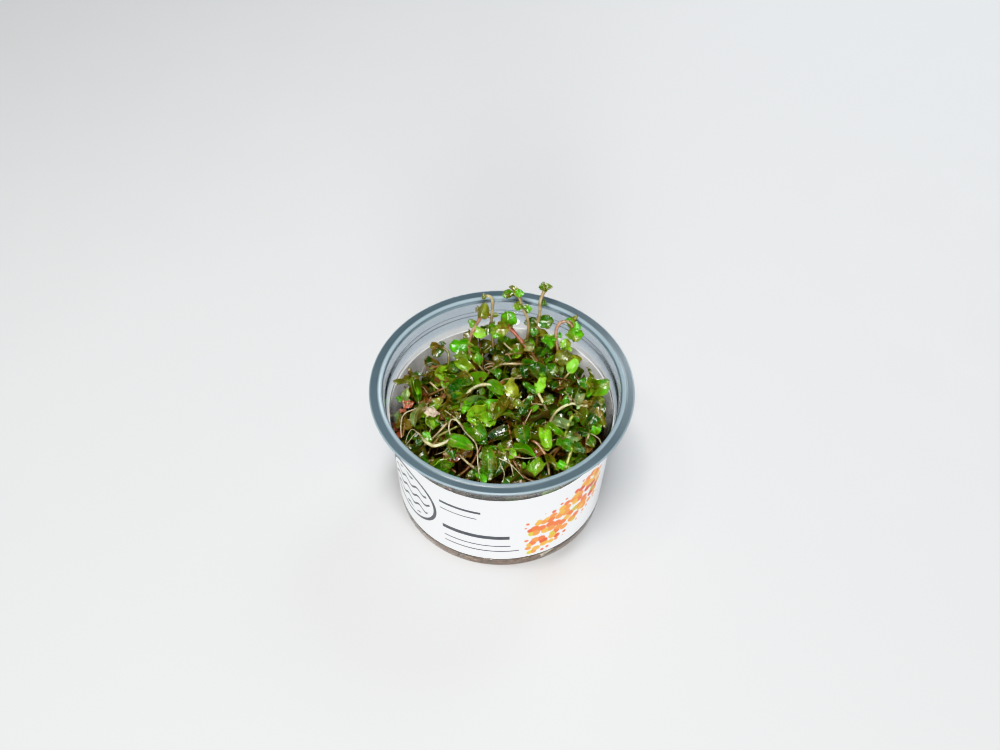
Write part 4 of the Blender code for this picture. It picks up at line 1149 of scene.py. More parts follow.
def placed(tree, group, **values):
    """The outputs of a node group put in a material with its own values."""
    made = tree.nodes.new("ShaderNodeGroup")
    made.node_tree = bpy.data.node_groups[group]
    for label, value in values.items():
        feed(tree, made.inputs[label], value)
    return made.outputs


def mottled(tree, scale, low, high):
    """A value that varies over the surface between a low and a high one."""
    return placed(tree, "Mottle", Scale=scale, Low=low, High=high)[0]


def mottle_group():
    """Uneven light and dark over a surface, between a low and a high value."""
    tree, given, out = group_tree("Mottle", {"Scale": 300.0, "Low": 0.7, "High": 1.2}, ("Value",))
    noise = put(tree, "TexNoise")
    noise.inputs["Detail"].default_value = 3
    tree.links.new(put(tree, "TexCoord").outputs["Object"], noise.inputs["Vector"])
    tree.links.new(given["Scale"], noise.inputs["Scale"])
    value = between(tree, noise.outputs[0], *MOTTLE_EDGES, given["Low"], given["High"])
    tree.links.new(value, out["Value"])


def veins_group():
    """A leaf's midrib, side veins and margin as masks, from its own map across and along it."""
    tree, given, out = group_tree("Leaf veins", {"Side veins": 7.0, "Slant": 2.6}, ("Rib", "Vein", "Margin"))
    across_along = put(tree, "SeparateXYZ")
    tree.links.new(put(tree, "UVMap", uv_map="UVMap").outputs[0], across_along.inputs[0])
    across, along = across_along.outputs[0], across_along.outputs[1]
    aside = work(tree, "ABSOLUTE", work(tree, "SUBTRACT", across, 0.5))
    tree.links.new(between(tree, aside, *RIB_EDGES, 1, 0), out["Rib"])
    slanted = work(tree, "SUBTRACT", work(tree, "MULTIPLY", along, given["Side veins"]),
                   work(tree, "MULTIPLY", aside, given["Slant"]))
    ridge = work(tree, "PINGPONG", slanted, 0.5)
    tree.links.new(between(tree, ridge, 0.0, VEIN_EDGE, 1, 0), out["Vein"])
    tree.links.new(between(tree, aside, MARGIN_EDGE, 0.5), out["Margin"])


# Materials


def let_light_in(tree, shader, share):
    """Let this share of the lamps' light and of the light between surfaces pass straight through."""
    path = put(tree, "LightPath")
    passing = work(tree, "MAXIMUM", path.outputs["Is Shadow Ray"], path.outputs["Is Diffuse Ray"])
    feed(tree, shader.inputs["Alpha"], work(tree, "MULTIPLY_ADD", passing, -share, 1.0))


def rim_highlight_rings(tree):
    """Whiter rings on the rim's lip and bead: painted highlights, and partly plastic that is thick and so
    looks whiter.
    """
    flat = put(tree, "VectorMath", operation="MULTIPLY")
    flat.inputs[1].default_value = (1 / MM, 1 / MM, 0)
    tree.links.new(put(tree, "TexCoord").outputs["Object"], flat.inputs[0])
    length = put(tree, "VectorMath", operation="LENGTH")
    tree.links.new(flat.outputs[0], length.inputs[0])
    rings = []
    for radius, half in RIM_LINES:
        off = work(tree, "ABSOLUTE", work(tree, "SUBTRACT", length.outputs["Value"], radius))
        rings.append(between(tree, off, half * RIM_LINE_CORE, half, 1.0, 0.0))
    return either(tree, *rings)


def plastic_finish(cup):
    """Clear polypropylene with a faint wave and a brown painted shade at its foot, and its milky rim with
    painted highlights.
    """
    material, tree, shader = finish("clear_polypropylene", {
        "Transmission Weight": 1.0, "IOR": POLYPROPYLENE_IOR, "Specular IOR Level": 0.5,
    })
    height = height_in_cup(tree)
    above = between(tree, height, STEP_BOTTOM * MM, STEP_TOP * MM)
    tint = blended(tree, above, cup.wall_tint, cup.upper_tint)
    # Painted shade: the wall is tinted brown and dark towards its foot
    foot_shade = between(tree, height, *[z * MM for z in FOOT_SHADE_HEIGHTS], 1.0, 0.0)
    cover(tree, shader, blended(tree, foot_shade, tint, cup.foot_shade_tint), mottled(tree, *PLASTIC_HAZE))
    relief(tree, shader, mottled(tree, *PLASTIC_WAVES), strength=0.2, depth=0.1)
    let_light_in(tree, shader, WALL_LIGHT)
    milky, tree, shader = finish("milky_rim", {
        "Transmission Weight": 0.2, "IOR": POLYPROPYLENE_IOR, "Specular IOR Level": 0.3,
        "Coat Weight": 0.12, "Coat Roughness": 0.12,
    })
    colour = lit(tree, cup.rim_tint, mottled(tree, *RIM_CLOUDS))
    # Painted highlights on the lip and the bead, partly the whiter thick plastic
    whiter = work(tree, "MULTIPLY", rim_highlight_rings(tree), RIM_LINE_SHARE)
    cover(tree, shader, blended(tree, whiter, colour, cup.rim_highlight_tint), mottled(tree, *RIM_DULLNESS))
    let_light_in(tree, shader, RIM_LIGHT)
    return material, milky


def bar(tree, x, y, left, right, height, thickness):
    """A mask that is 1 on a level bar of the label."""
    inside = work(tree, "COMPARE", x, (left + right) / 2, (right - left) / 2)
    level = work(tree, "COMPARE", y, height, thickness / 2)
    return work(tree, "MULTIPLY", inside, level)


def either(tree, *masks):
    """The strongest of the masks."""
    found = masks[0]
    for mask in masks[1:]:
        found = work(tree, "MAXIMUM", found, mask)
    return found


def label_places(tree):
    """Where a point of the label lies, in millimetres right of the front's middle and up from the table."""
    parts = put(tree, "SeparateXYZ")
    tree.links.new(put(tree, "UVMap", uv_map="UVMap").outputs[0], parts.inputs[0])
    sweep = 360 + LABEL_LAP_DEGREES
    front = (FRONT_DEGREES - LABEL_SEAM_DEGREES) / sweep
    middle = wall_radius((LABEL_BOTTOM + LABEL_TOP) / 2)
    x = work(tree, "MULTIPLY", work(tree, "SUBTRACT", parts.outputs[0], front), math.radians(sweep) * middle)
    y = work(tree, "MULTIPLY_ADD", parts.outputs[1], LABEL_TOP - LABEL_BOTTOM, LABEL_BOTTOM)
    return x, y


def ring_and_waves(tree, x, y):
    """The plain round water mark on the label's left."""
    across = work(tree, "SUBTRACT", x, BADGE_X)
    up = work(tree, "SUBTRACT", y, BADGE_Y)
    squares = work(tree, "ADD", work(tree, "MULTIPLY", across, across), work(tree, "MULTIPLY", up, up))
    reach = work(tree, "SQRT", squares)
    ring = work(tree, "COMPARE", reach, BADGE_RADIUS, BADGE_LINE / 2)
    phase = work(tree, "MULTIPLY", across, BADGE_WAVES)
    swing = work(tree, "MULTIPLY", work(tree, "SINE", phase), BADGE_SWING)
    rows = work(tree, "PINGPONG", work(tree, "ADD", up, swing), BADGE_ROW)
    line = work(tree, "LESS_THAN", rows, BADGE_LINE / 2)
    inner = work(tree, "LESS_THAN", reach, BADGE_RADIUS - BADGE_MARGIN)
    return either(tree, ring, work(tree, "MULTIPLY", line, inner))


def bubbles(tree, x, y):
    """A drift of round bubbles that rises to the right: their mask and their colour."""
    place = put(tree, "CombineXYZ")
    feed(tree, place.inputs[0], x)
    feed(tree, place.inputs[1], y)
    cells = put(tree, "TexVoronoi", voronoi_dimensions="2D")
    cells.inputs["Scale"].default_value = 1 / BUBBLE_SPACING
    cells.inputs["Randomness"].default_value = BUBBLE_SCATTER
    tree.links.new(place.outputs[0], cells.inputs["Vector"])
    run = between(tree, x, DRIFT_LEFT, DRIFT_RIGHT, DRIFT_LOW, DRIFT_HIGH)
    off = work(tree, "DIVIDE", work(tree, "ABSOLUTE", work(tree, "SUBTRACT", y, run)), DRIFT_HALF)
    middle = (DRIFT_LEFT + DRIFT_RIGHT) / 2
    aside = work(tree, "ABSOLUTE", work(tree, "SUBTRACT", x, middle))
    along = work(tree, "POWER", work(tree, "DIVIDE", aside, middle - DRIFT_LEFT), DRIFT_BLUNTNESS)
    fade = work(tree, "SUBTRACT", 1.0, work(tree, "MAXIMUM", off, along))
    full = work(tree, "MINIMUM", work(tree, "MULTIPLY", fade, DRIFT_GROWTH), 1.0)
    size = work(tree, "MULTIPLY", full, BUBBLE_SIZE)
    mask = work(tree, "LESS_THAN", cells.outputs["Distance"], size)
    pick = put(tree, "SeparateColor")
    tree.links.new(cells.outputs["Color"], pick.inputs[0])
    colour = put(tree, "ValToRGB")
    colour.color_ramp.interpolation = "CONSTANT"
    for position, tone in zip(BUBBLE_SHARES, BUBBLE_TONES):
        stop = colour.color_ramp.elements.new(position) if position else colour.color_ramp.elements[0]
        stop.color = (*tone, 1)
    colour.color_ramp.elements.remove(colour.color_ramp.elements[-1])
    tree.links.new(pick.outputs[0], colour.inputs[0])
    return mask, colour.outputs[0]


def label_finish(label):
    """Coated white paper with its plain print, and the uncoated back, darker low down with painted shade."""
    material, tree, shader = finish("label_print", {"Coat Weight": 0.25, "Coat Roughness": 0.2})
    x, y = label_places(tree)
    paper = lit(tree, label.paper, mottled(tree, *PAPER_FIBRES))
    rules = [bar(tree, x, y, *place) for place in LABEL_RULES]
    printed = blended(tree, either(tree, ring_and_waves(tree, x, y), *rules), paper, label.ink)
    spots, tone = bubbles(tree, x, y)
    cover(tree, shader, blended(tree, spots, printed, tone), mottled(tree, *PAPER_DULLNESS))
    relief(tree, shader, mottled(tree, *PAPER_GRAIN), strength=0.12, depth=0.03)
    back, tree, shader = finish("label_back", {
        "Roughness": 0.7, "Subsurface Weight": 0.8, "Subsurface Scale": MM,
        "Subsurface Radius": (1.0, 1.0, 1.0),
    })
    # Painted shade: the back is darker low down, where the plants would shade it
    back_shade = between(tree, height_in_cup(tree), *[z * MM for z in BACK_SHADE_HEIGHTS], BACK_SHADE_LIGHT, 1.0)
    light = work(tree, "MULTIPLY", mottled(tree, *BACK_FIBRES), back_shade)
    feed(tree, shader.inputs["Base Color"], lit(tree, label.back, light))
    return material, back


def leaf_finish(name, pale, wash, roughness, coat):
    """A wet leaf's face or underside: its own tone with a pale midrib, veins and a darker margin, all
    darkened by the painted shade that its tone carries.
    """
    _, tree, shader = finish(name, {
        "Coat Weight": coat, "Coat Roughness": 0.05, "Specular IOR Level": 0.35,
        "Subsurface Weight": 0.12, "Subsurface Scale": 0.6 * MM,
        "Subsurface Radius": (0.5, 1.0, 0.2),
    })
    tone, _, _, light = put(tree, "Attribute", attribute_name="tone").outputs
    veins = placed(tree, "Leaf veins")
    colour = lit(tree, tone, mottled(tree, *LEAF_LIGHTS))
    colour = blended(tree, wash, colour, pale)
    for pattern, spot in ((LEAF_SPOTS, LEAF_BLOTCH), (LEAF_FLUSHES, LEAF_FLUSH)):
        colour = blended(tree, work(tree, "MAXIMUM", mottled(tree, *pattern), 0.0), colour, spot)
    for mask, share, line in (
        ("Margin", MARGIN_SHARE, LEAF_MARGIN), ("Vein", VEIN_SHARE, LEAF_VEIN), ("Rib", RIB_SHARE, LEAF_VEIN),
    ):
        colour = blended(tree, work(tree, "MULTIPLY", veins[mask], share), colour, line)
    dull = [roughness + spread for spread in LEAF_DULLNESS_SPREAD]
    # The painted shade in the tone's fourth channel darkens the whole colour
    cover(tree, shader, lit(tree, colour, light), mottled(tree, LEAF_DULLNESS_SCALE, *dull))
    sunk = work(tree, "MAXIMUM", veins["Rib"], work(tree, "MULTIPLY", veins["Vein"], VEIN_DEPTH))
    height = work(tree, "MULTIPLY_ADD", sunk, -1.0, mottled(tree, *LEAF_GRAIN))
    relief(tree, shader, height, strength=0.55, depth=0.18)


def strand_finish(name, roughness, coat, streak):
    """The skin of a stem or a root: its own tone with fine streaks and blotches."""
    _, tree, shader = finish(name, {
        "Coat Weight": coat, "Coat Roughness": 0.15,
        "Subsurface Weight": 0.15, "Subsurface Scale": 0.5 * MM, "Subsurface Radius": (1.0, 0.7, 0.4),
    })
    tone = put(tree, "Attribute", attribute_name="tone").outputs["Color"]
    colour = lit(tree, tone, mottled(tree, streak, *STRAND_LIGHTS))
    blotch = work(tree, "MAXIMUM", mottled(tree, *STEM_SPOTS), 0.0)
    colour = blended(tree, blotch, colour, STEM_BLOTCH)
    dull = [roughness + spread for spread in STRAND_DULLNESS_SPREAD]
    cover(tree, shader, colour, mottled(tree, STRAND_DULLNESS_SCALE, *dull))
    relief(tree, shader, mottled(tree, streak * STRAND_GRAIN, 0.0, 1.0), strength=0.5, depth=0.12)


def matted_finish(roots):
    """The damp brown felt that the root mat's body is."""
    _, tree, shader = finish("matted_roots", {"Coat Weight": 0.15, "Coat Roughness": 0.25})
    cover(tree, shader, lit(tree, roots.felt, mottled(tree, *FELT_LIGHTS)), mottled(tree, *FELT_DULLNESS))
    relief(tree, shader, mottled(tree, *FELT_GRAIN), strength=0.8, depth=0.5)


# Cup and label


def wall_radius(z):
    """The outer radius of the cup's wall at this height."""
    if z <= STEP_BOTTOM:
        foot = min(max((FOOT_TOP + FOOT_SLOPE - z) / FOOT_SLOPE, 0), 1)
        return BASE_RADIUS + DRAFT * z + FOOT_OUT * foot
    if z <= STEP_TOP:
        return wall_radius(STEP_BOTTOM) + STEP_OUT * (z - STEP_BOTTOM) / (STEP_TOP - STEP_BOTTOM)
    climb = (z - STEP_TOP) / (UPPER_WALL_TOP - STEP_TOP)
    low = wall_radius(STEP_TOP)
    return low + (UPPER_WALL_RADIUS - low) * climb


def room_radius(z):
    """How far from the axis a plant may reach at this height."""
    if z > FLANGE_TOP + BEAD_HEIGHT + CLEARANCE:
        return FLANGE_RADIUS - 1
    return wall_radius(min(z, UPPER_WALL_TOP)) - WALL - CLEARANCE


def ribs(thickness, order):
    """The points of the upper wall's ribs, which stand out on its outer face and in on its inner one."""
    points = []
    for height in UPPER_RIBS[::order]:
        for step, depth in ((-RIB_HALF, 0), (0, RIB_DEPTH), (RIB_HALF, 0)):
            z = height + step * order
            points.append((wall_radius(z) - thickness + depth, z))
    return points


def cup_profile(wall):
    """The cup's half section: along the floor, up the inside, over the rim and down the outside."""
    lip_inner = FLANGE_RADIUS - wall
    inside = [(0, FLOOR_THICKNESS), (FLOOR_RADIUS, FLOOR_THICKNESS)]
    inside += [(wall_radius(z) - wall, z) for z in (FLOOR_CORNER_HEIGHT, FOOT_TOP, FOOT_TOP + FOOT_SLOPE)]
    inside += [(wall_radius(z) - wall, z + wall / 2) for z in (STEP_BOTTOM, STEP_TOP)]
    inside += ribs(wall, 1)
    inside += [(UPPER_WALL_RADIUS - wall, FLANGE_TOP - RIM_EDGE)]
    inside += [(UPPER_WALL_RADIUS - wall / 3, FLANGE_TOP)]
    rim = []
    for i in range(BEAD_POINTS + 1):
        share = i / BEAD_POINTS
        radius = BEAD_RADIUS + BEAD_FLARE * (2 * share - 1)
        rim.append((radius, FLANGE_TOP + BEAD_HEIGHT * (1 - math.cos(2 * math.pi * share)) / 2))
    rim += [
        (FLANGE_RADIUS - RIM_EDGE, FLANGE_TOP),
        (FLANGE_RADIUS, FLANGE_TOP - RIM_EDGE),
        (FLANGE_RADIUS, FLANGE_TOP - LIP_DROP),
        (lip_inner, FLANGE_TOP - LIP_DROP),
        (lip_inner, FLANGE_TOP - wall),
    ]
    outside = [(UPPER_WALL_RADIUS + RIM_EDGE, FLANGE_TOP - wall), (UPPER_WALL_RADIUS, UPPER_WALL_TOP)]
    outside += ribs(0, -1)
    low = (STEP_TOP, STEP_BOTTOM, FOOT_TOP + FOOT_SLOPE, FOOT_TOP, FOOT_CHAMFER_UP)
    outside += [(wall_radius(z), z) for z in low]
    outside += [(wall_radius(0) - FOOT_CHAMFER_IN, 0), (0, 0)]
    return inside + rim + outside


def make_cup(cup):
    piece = turned("clear_cup", cup_profile(cup.wall / MM), cup.segments)
    for material in plastic_finish(cup):
        piece.data.materials.append(material)
    for face in piece.data.polygons:
        face.material_index = int(face.center.z > MILKY_ABOVE * MM)
    round_off = piece.modifiers.new("Round off", "BEVEL")
    round_off.width = EDGE_ROUND * MM
    round_off.segments = 2
    round_off.limit_method = "ANGLE"
    round_off.angle_limit = math.radians(ROUNDED_ABOVE_DEGREES)
    settle_modifiers(piece)
    smooth(piece, CUP_SMOOTH_DEGREES)
    hand_in(piece, "clear_plastic", "cup")


def make_label(label):
    """A flat sheet wound round the wall, its last few degrees lapped over its start."""
    start()
    bpy.ops.mesh.primitive_grid_add(x_subdivisions=LABEL_COLUMNS, y_subdivisions=LABEL_ROWS, size=1)
    piece = named("wrap_label")
    sweep = math.radians(360 + LABEL_LAP_DEGREES)
    lap = math.radians(LABEL_LAP_DEGREES)
    for vertex in piece.data.vertices:
        along = (vertex.co.x + 0.5) * sweep
        height = LABEL_BOTTOM + (vertex.co.y + 0.5) * (LABEL_TOP - LABEL_BOTTOM)
        over = min(max((along - sweep + 2 * lap) / lap, 0), 1)
        radius = wall_radius(height) + LABEL_GAP + over * (label.thickness / MM + LAP_GAP)
        vertex.co = round_axis(radius, math.radians(LABEL_SEAM_DEGREES) + along, height)
    for material in label_finish(label):
        piece.data.materials.append(material)
    sheet = piece.modifiers.new("Paper", "SOLIDIFY")
    sheet.thickness = label.thickness
    sheet.offset = 1
    sheet.material_offset = 1
    settle_modifiers(piece)
    smooth(piece, LABEL_SMOOTH_DEGREES)
    hand_in(piece, "label_paper", "label")


# Root mat


def mat_height(radius):
    """How high the matted roots stand at this distance from the axis."""
    share = min(radius / MAT_FOOT_RADIUS, 1)
    return MAT_HEIGHT - (MAT_HEIGHT - MAT_EDGE_HEIGHT) * share ** 3


def make_mat_body(roots):
    radii = [share * MAT_FOOT_RADIUS for share in reversed(MAT_PROFILE)]
    rings = [(radius, mat_height(radius)) for radius in radii]
    foot = [(0, MAT_BOTTOM), (FLOOR_RADIUS - MAT_GAP, MAT_BOTTOM)]
    turns = (FLOOR_CORNER_HEIGHT, FOOT_TOP, FOOT_TOP + FOOT_SLOPE, MAT_EDGE_HEIGHT)
    foot += [(wall_radius(z) - THIN_WALL - MAT_GAP, z) for z in turns]
    profile = [*foot, *rings, (0, MAT_HEIGHT)]
    body = turned("mat_body", profile, MAT_STEPS)
    for _ in range(MAT_CUTS):
        only(body)
        bpy.ops.object.mode_set(mode="EDIT")
        mark(body, lambda vertex: vertex.co.z > MAT_EDGE_HEIGHT * MM * MAT_FINE_FROM)
        bpy.ops.mesh.subdivide(number_cuts=1)
        bpy.ops.object.mode_set(mode="OBJECT")
    lumps = bpy.data.textures.new("Lumps", "CLOUDS")
    lumps.noise_scale = MAT_LUMP_SIZE * MM
    push = body.modifiers.new("Lumps", "DISPLACE")
    push.texture = lumps
    push.strength = 2 * MAT_LUMPS * MM
    push.mid_level = MAT_LUMP_LEVEL
    settle_modifiers(body)
    smooth(body, MAT_SMOOTH_DEGREES)
    paint(body.data, roots.felt)
    body.data.materials.append(bpy.data.materials["matted_roots"])
    return body


def wandering(points, length, rng):
    """A route that wanders along X as a root does, with its middle at the origin."""
    place, heading = Vector((0, 0, 0)), Vector((1, 0, 0))
    route = [place.copy()]
    for _ in range(points - 1):
        heading += Vector([rng.uniform(-FIBRE_WANDER, FIBRE_WANDER) for _ in range(3)])
        heading.z *= FIBRE_FLATNESS
        heading.normalize()
        place += heading * length / (points - 1)
        route.append(place.copy())
    return [point - place / 2 for point in route]


def kept_inside(mesh):
    """Press the mesh's points inside the cup's wall, off its floor and under the solids' top."""
    points = np.empty(len(mesh.vertices) * 3, np.float32)
    mesh.vertices.foreach_get("co", points)
    points = points.reshape(-1, 3) / MM
    heights = points[:, 2]
    slack = WALL + CLEARANCE - THIN_WALL - MAT_GAP
    corner = FLOOR_RADIUS - MAT_GAP + np.maximum(heights - MAT_BOTTOM, 0)
    room = np.minimum([room_radius(z) + slack for z in heights], corner)
    across = np.maximum(np.hypot(points[:, 0], points[:, 1]), 1)
    points[:, :2] *= np.minimum(1, room / across)[:, None]
    points[:, 2] = np.clip(heights, MAT_BOTTOM, CAD_BOX[1].z / MM)
    mesh.vertices.foreach_set("co", (points * MM).ravel())
    mesh.update()


def copied(shape, place, tone, light=1.0):
    """A copy of a shape with its own mesh, put in its place and given its colour and its share of painted
    shade.
    """
    thing = shape.copy()
    thing.data = shape.data.copy()
    thing.data.transform(place)
    paint(thing.data, tone, light)
    bpy.context.scene.collection.objects.link(thing)
    return thing


def fibre_shape(roots, rng):
    """One loose root, which is then copied about."""
    thickness = rng.uniform(*FIBRE_THICKNESSES) * roots.fibre_radius / MM
    route = wandering(FIBRE_POINTS, rng.uniform(*FIBRE_LENGTHS), rng)
    radii = [thickness * (FIBRE_START - FIBRE_TAPER * i / FIBRE_POINTS) for i in range(FIBRE_POINTS)]
    shape = strand("fibre", route, radii, FIBRE_DETAIL)
    shape.data.materials.append(bpy.data.materials["root_thread"])
    return shape


def make_root_mat(roots):
    rng = random.Random(roots.seed)
    matted_finish(roots)
    strand_finish("root_thread", *ROOT_SKIN)
    parts = [make_mat_body(roots)]
    shapes = [fibre_shape(roots, rng) for _ in range(FIBRE_SHAPES)]
    for _ in range(roots.fibres):
        bearing = rng.uniform(0, 2 * math.pi)
        turn = Matrix.Rotation(rng.uniform(0, 2 * math.pi), 4, "Z")
        if rng.random() < WALL_FIBRES:
            radius = FIBRE_RADIUS_LIMIT
            height = rng.uniform(*WALL_FIBRE_HEIGHTS)
            lean = Matrix.Rotation(rng.gauss(0, WALL_FIBRE_LEAN), 4, "X")
            tilt = Matrix.Rotation(rng.gauss(0, WALL_FIBRE_TILT), 4, "Y")
            turn = Matrix.Rotation(bearing + math.pi / 2, 4, "Z") @ tilt @ lean
        else:
            radius = FIBRE_RADIUS_LIMIT * math.sqrt(rng.random())
            height = mat_height(radius) + rng.uniform(*LYING_FIBRE_HEIGHTS)
        place = Matrix.Translation(round_axis(radius, bearing, height)) @ turn
        parts.append(copied(rng.choice(shapes), place, rng.choice(FIBRE_TONES)))
    for shape in shapes:
        bpy.data.objects.remove(shape)
    parts.append(thread(PALE_STUMP, STUMP_RADIUS, STUMP_TONE))
    piece = joined("matted_root_pad", parts)
    kept_inside(piece.data)
    hand_in(piece, "roots", "root_mat")


# Leaves


def outline(share):
    """The width of a leaf at this share of its length."""
    full = math.sin(math.pi * min(max(share, 0), 1) ** LEAF_WIDEST)
    ends = BASE_WIDTH + (TIP_WIDTH - BASE_WIDTH) * share
    return max(full, 0) ** LEAF_FULLNESS * (1 - ends) + ends


def roll_and_cut(leaf, form, columns, rows, rng):
    """In edit mode, raise the grid's sides and narrow its rows to a leaf's outline, its margin rippled."""
    across = columns + 1
    phases = {0: rng.uniform(0, 2 * math.pi), columns: rng.uniform(0, 2 * math.pi)}
    for column in range(across):
        mark(leaf, lambda vertex: vertex.index % across == column)
        lift = form.roll * abs(2 * column / columns - 1) ** LEAF_ROLL_POWER
        bpy.ops.transform.translate(value=(0, 0, lift))
    for row in range(rows + 1):
        along = row / rows
        mark(leaf, lambda vertex: vertex.index // across == row)
        width = outline(along)
        bpy.ops.transform.resize(value=(width, 1, width), center_override=(0, along, 0))
        for side, phase in phases.items():
            ripple = form.wave * math.sin(phase + 2 * math.pi * LEAF_RIPPLES * along)
            mark(leaf, lambda vertex: vertex.index == row * across + side)
            aside, ahead = (rng.uniform(-MARGIN_JITTER, MARGIN_JITTER) for _ in range(2))
            bpy.ops.transform.translate(value=(aside, ahead, ripple))
            inner = abs(side - 1)
            mark(leaf, lambda vertex: vertex.index == row * across + inner)
            bpy.ops.transform.translate(value=(0, 0, ripple / 2))


def arch_and_twist(leaf, form, columns, rows, rng):
    """In edit mode, bend the leaf a little at each row, about that row's middle."""
    across = columns + 1
    for row in range(rows):
        hinge = place_of(leaf, row * across + columns // 2)
        mark(leaf, lambda vertex: vertex.index // across > row)
        for axis, degrees in (("X", form.arch), ("Y", form.twist)):
            turn = math.radians(degrees / rows * rng.uniform(*LEAF_BEND_SHARES))
            bpy.ops.transform.rotate(value=turn, orient_axis=axis, center_override=hinge)


def leaf_shape(name, form, grid, rng):
    """A leaf of unit length and width along +Y, shaped from a flat grid."""
    columns, rows, crumpled = grid
    start()
    bpy.ops.mesh.primitive_grid_add(x_subdivisions=columns, y_subdivisions=rows, size=1)
    leaf = named(name)
    bpy.ops.object.mode_set(mode="EDIT")
    bpy.ops.transform.translate(value=(0, 0.5, 0))
    roll_and_cut(leaf, form, columns, rows, rng)
    arch_and_twist(leaf, form, columns, rows, rng)
    tip = place_of(leaf, rows * (columns + 1) + columns // 2)
    bpy.ops.mesh.select_all(action="SELECT")
    bpy.ops.transform.rotate(value=math.atan2(tip.z, tip.y), orient_axis="X", center_override=(0, 0, 0))
    bpy.ops.transform.resize(value=(1, 1 / math.hypot(tip.y, tip.z), 1), center_override=(0, 0, 0))
    bpy.ops.object.mode_set(mode="OBJECT")
    leaf.data.materials.append(bpy.data.materials["leaf_face"])
    leaf.data.materials.append(bpy.data.materials["leaf_underside"])
    folds = bpy.data.textures.new("Folds", "CLOUDS")
    folds.noise_scale = rng.uniform(*LEAF_CRUMPLE_SIZES)
    folds.noise_type = "HARD_NOISE"
    folds.noise_depth = 1
    crumple = leaf.modifiers.new("Crumple", "DISPLACE")
    crumple.texture = folds
    crumple.strength = crumpled
    crumple.mid_level = LEAF_CRUMPLE_LEVEL
    blade = leaf.modifiers.new("Blade", "SOLIDIFY")
    blade.thickness = LEAF_THICKNESS
    blade.offset = -1
    blade.material_offset = 1
    settle_modifiers(leaf)
    smooth(leaf, LEAF_SMOOTH_DEGREES)
    return leaf


def leaf_shapes(grid, rng):
    """The leaf shapes of each form."""
    return {
        form: [leaf_shape(form, variant, grid, rng) for variant in variants]
        for form, variants in LEAF_FORMS.items()
    }


def leaf_frame(base, tip, turn):
    """The leaf's length and its along, across and up directions, its face leaning to the front."""
    along = Vector(tip) - Vector(base)
    length = along.length
    along.normalize()
    across = Vector(FACE_HINT).cross(along)
    if across.length < STEEP:
        across = Vector((1, 0, 0)).cross(along)
    across.normalize()
    up = along.cross(across)
    to_front = up.cross(Vector((0, -1, 0))).dot(along)
    lean = Matrix.Rotation(math.copysign(1, to_front) * math.radians(turn), 3, along)
    return length, along, lean @ across, lean @ up


# What the extra leaves grow among: the leaf shapes, the tips of shoots, and the seen places that
# stay uncovered
Growth = namedtuple("Growth", "shapes tips seen")


def leaf_at(shapes, base, leaf, rng):
    """A copy of one of the form's leaf shapes from its base to its tip, with its own tone and a painted shade
    that deepens under the canopy.
    """
    length, along, across, up = leaf_frame(base, leaf.tip, leaf.turn)
    turn = Matrix((-across * leaf.width, along * length, up * length)).transposed().to_4x4()
    place = Matrix.Translation(Vector(base) * MM) @ Matrix.Scale(MM, 4) @ turn
    # Painted shade: the deeper a leaf's tip lies under the canopy, the darker its colour
    depth = canopy(leaf.tip[0], leaf.tip[1]) - leaf.tip[2]
    light = 1 - SHADED * min(max(depth / SHADE_DEPTH, 0), 1)
    shade = rng.uniform(*LEAF_SHADES)
    tone = [shade * part * rng.uniform(*TONE_SPREAD) for part in TONES[leaf.tone]]
    return copied(rng.choice(shapes[leaf.form]), place, tone, light)


# Stems and shoots


def smooth_route(points, step):
    """Points at even steps along a centripetal Catmull-Rom curve through these points."""
    points = np.array(points, float)
    points = np.vstack([2 * points[0] - points[1], points, 2 * points[-1] - points[-2]])
    curve = []
    for a, b, c, d in zip(points, points[1:], points[2:], points[3:]):
        spans = [math.sqrt(np.linalg.norm(q - p)) for p, q in ((a, b), (b, c), (c, d))]
        times = np.cumsum([0, *spans])
        for t in np.linspace(times[1], times[2], CURVE_SAMPLES, endpoint=False):
            ab = a + (b - a) * (t - times[0]) / (times[1] - times[0])
            bc = b + (c - b) * (t - times[1]) / (times[2] - times[1])
            cd = c + (d - c) * (t - times[2]) / (times[3] - times[2])
            abc = ab + (bc - ab) * (t - times[0]) / (times[2] - times[0])
            bcd = bc + (cd - bc) * (t - times[1]) / (times[3] - times[1])
            curve.append(abc + (bcd - abc) * (t - times[1]) / (times[2] - times[1]))
    curve = np.array(curve + [points[-2]])
    lengths = lengths_along(curve)
    count = max(3, round(lengths[-1] / step) + 1)
    places = np.linspace(0, lengths[-1], count)
    return np.stack([np.interp(places, lengths, curve[:, k]) for k in range(3)], axis=1)


def settle(routes, radii, owners):
    """Push routes of different shoots apart where they cross, and keep all inside the wall."""
    starts = np.cumsum([0] + [len(route) for route in routes])
    points = np.concatenate(routes)
    first = points.copy()
    radius = np.repeat(radii, [len(route) for route in routes])
    owner = np.repeat(owners, [len(route) for route in routes])
    need = radius[:, None] + radius[None, :] + STEM_CLEARANCE
    need = np.where(owner[:, None] == owner[None, :], 0, need)
    for _ in range(SETTLE_STEPS):
        apart = points[:, None] - points[None, :]
        distance = np.linalg.norm(apart, axis=2) + NEARLY_NOTHING
        push = np.clip(need - distance, 0, None) / distance
        moved = points - first + (apart * push[:, :, None]).sum(axis=1) * SETTLE_PUSH
        for begin, end in zip(starts, starts[1:]):
            run = moved[begin:end]
            run[:PINNED_POINTS] = 0
            run[1:-1] = run[1:-1] / 2 + (run[:-2] + run[2:]) / 4
        points = first + moved
        across = np.hypot(points[:, 0], points[:, 1])
        room = np.array([room_radius(z) for z in points[:, 2]]) - radius
        points[:, :2] *= np.minimum(1, room / across)[:, None]
    return [points[begin:end] for begin, end in zip(starts, starts[1:])]


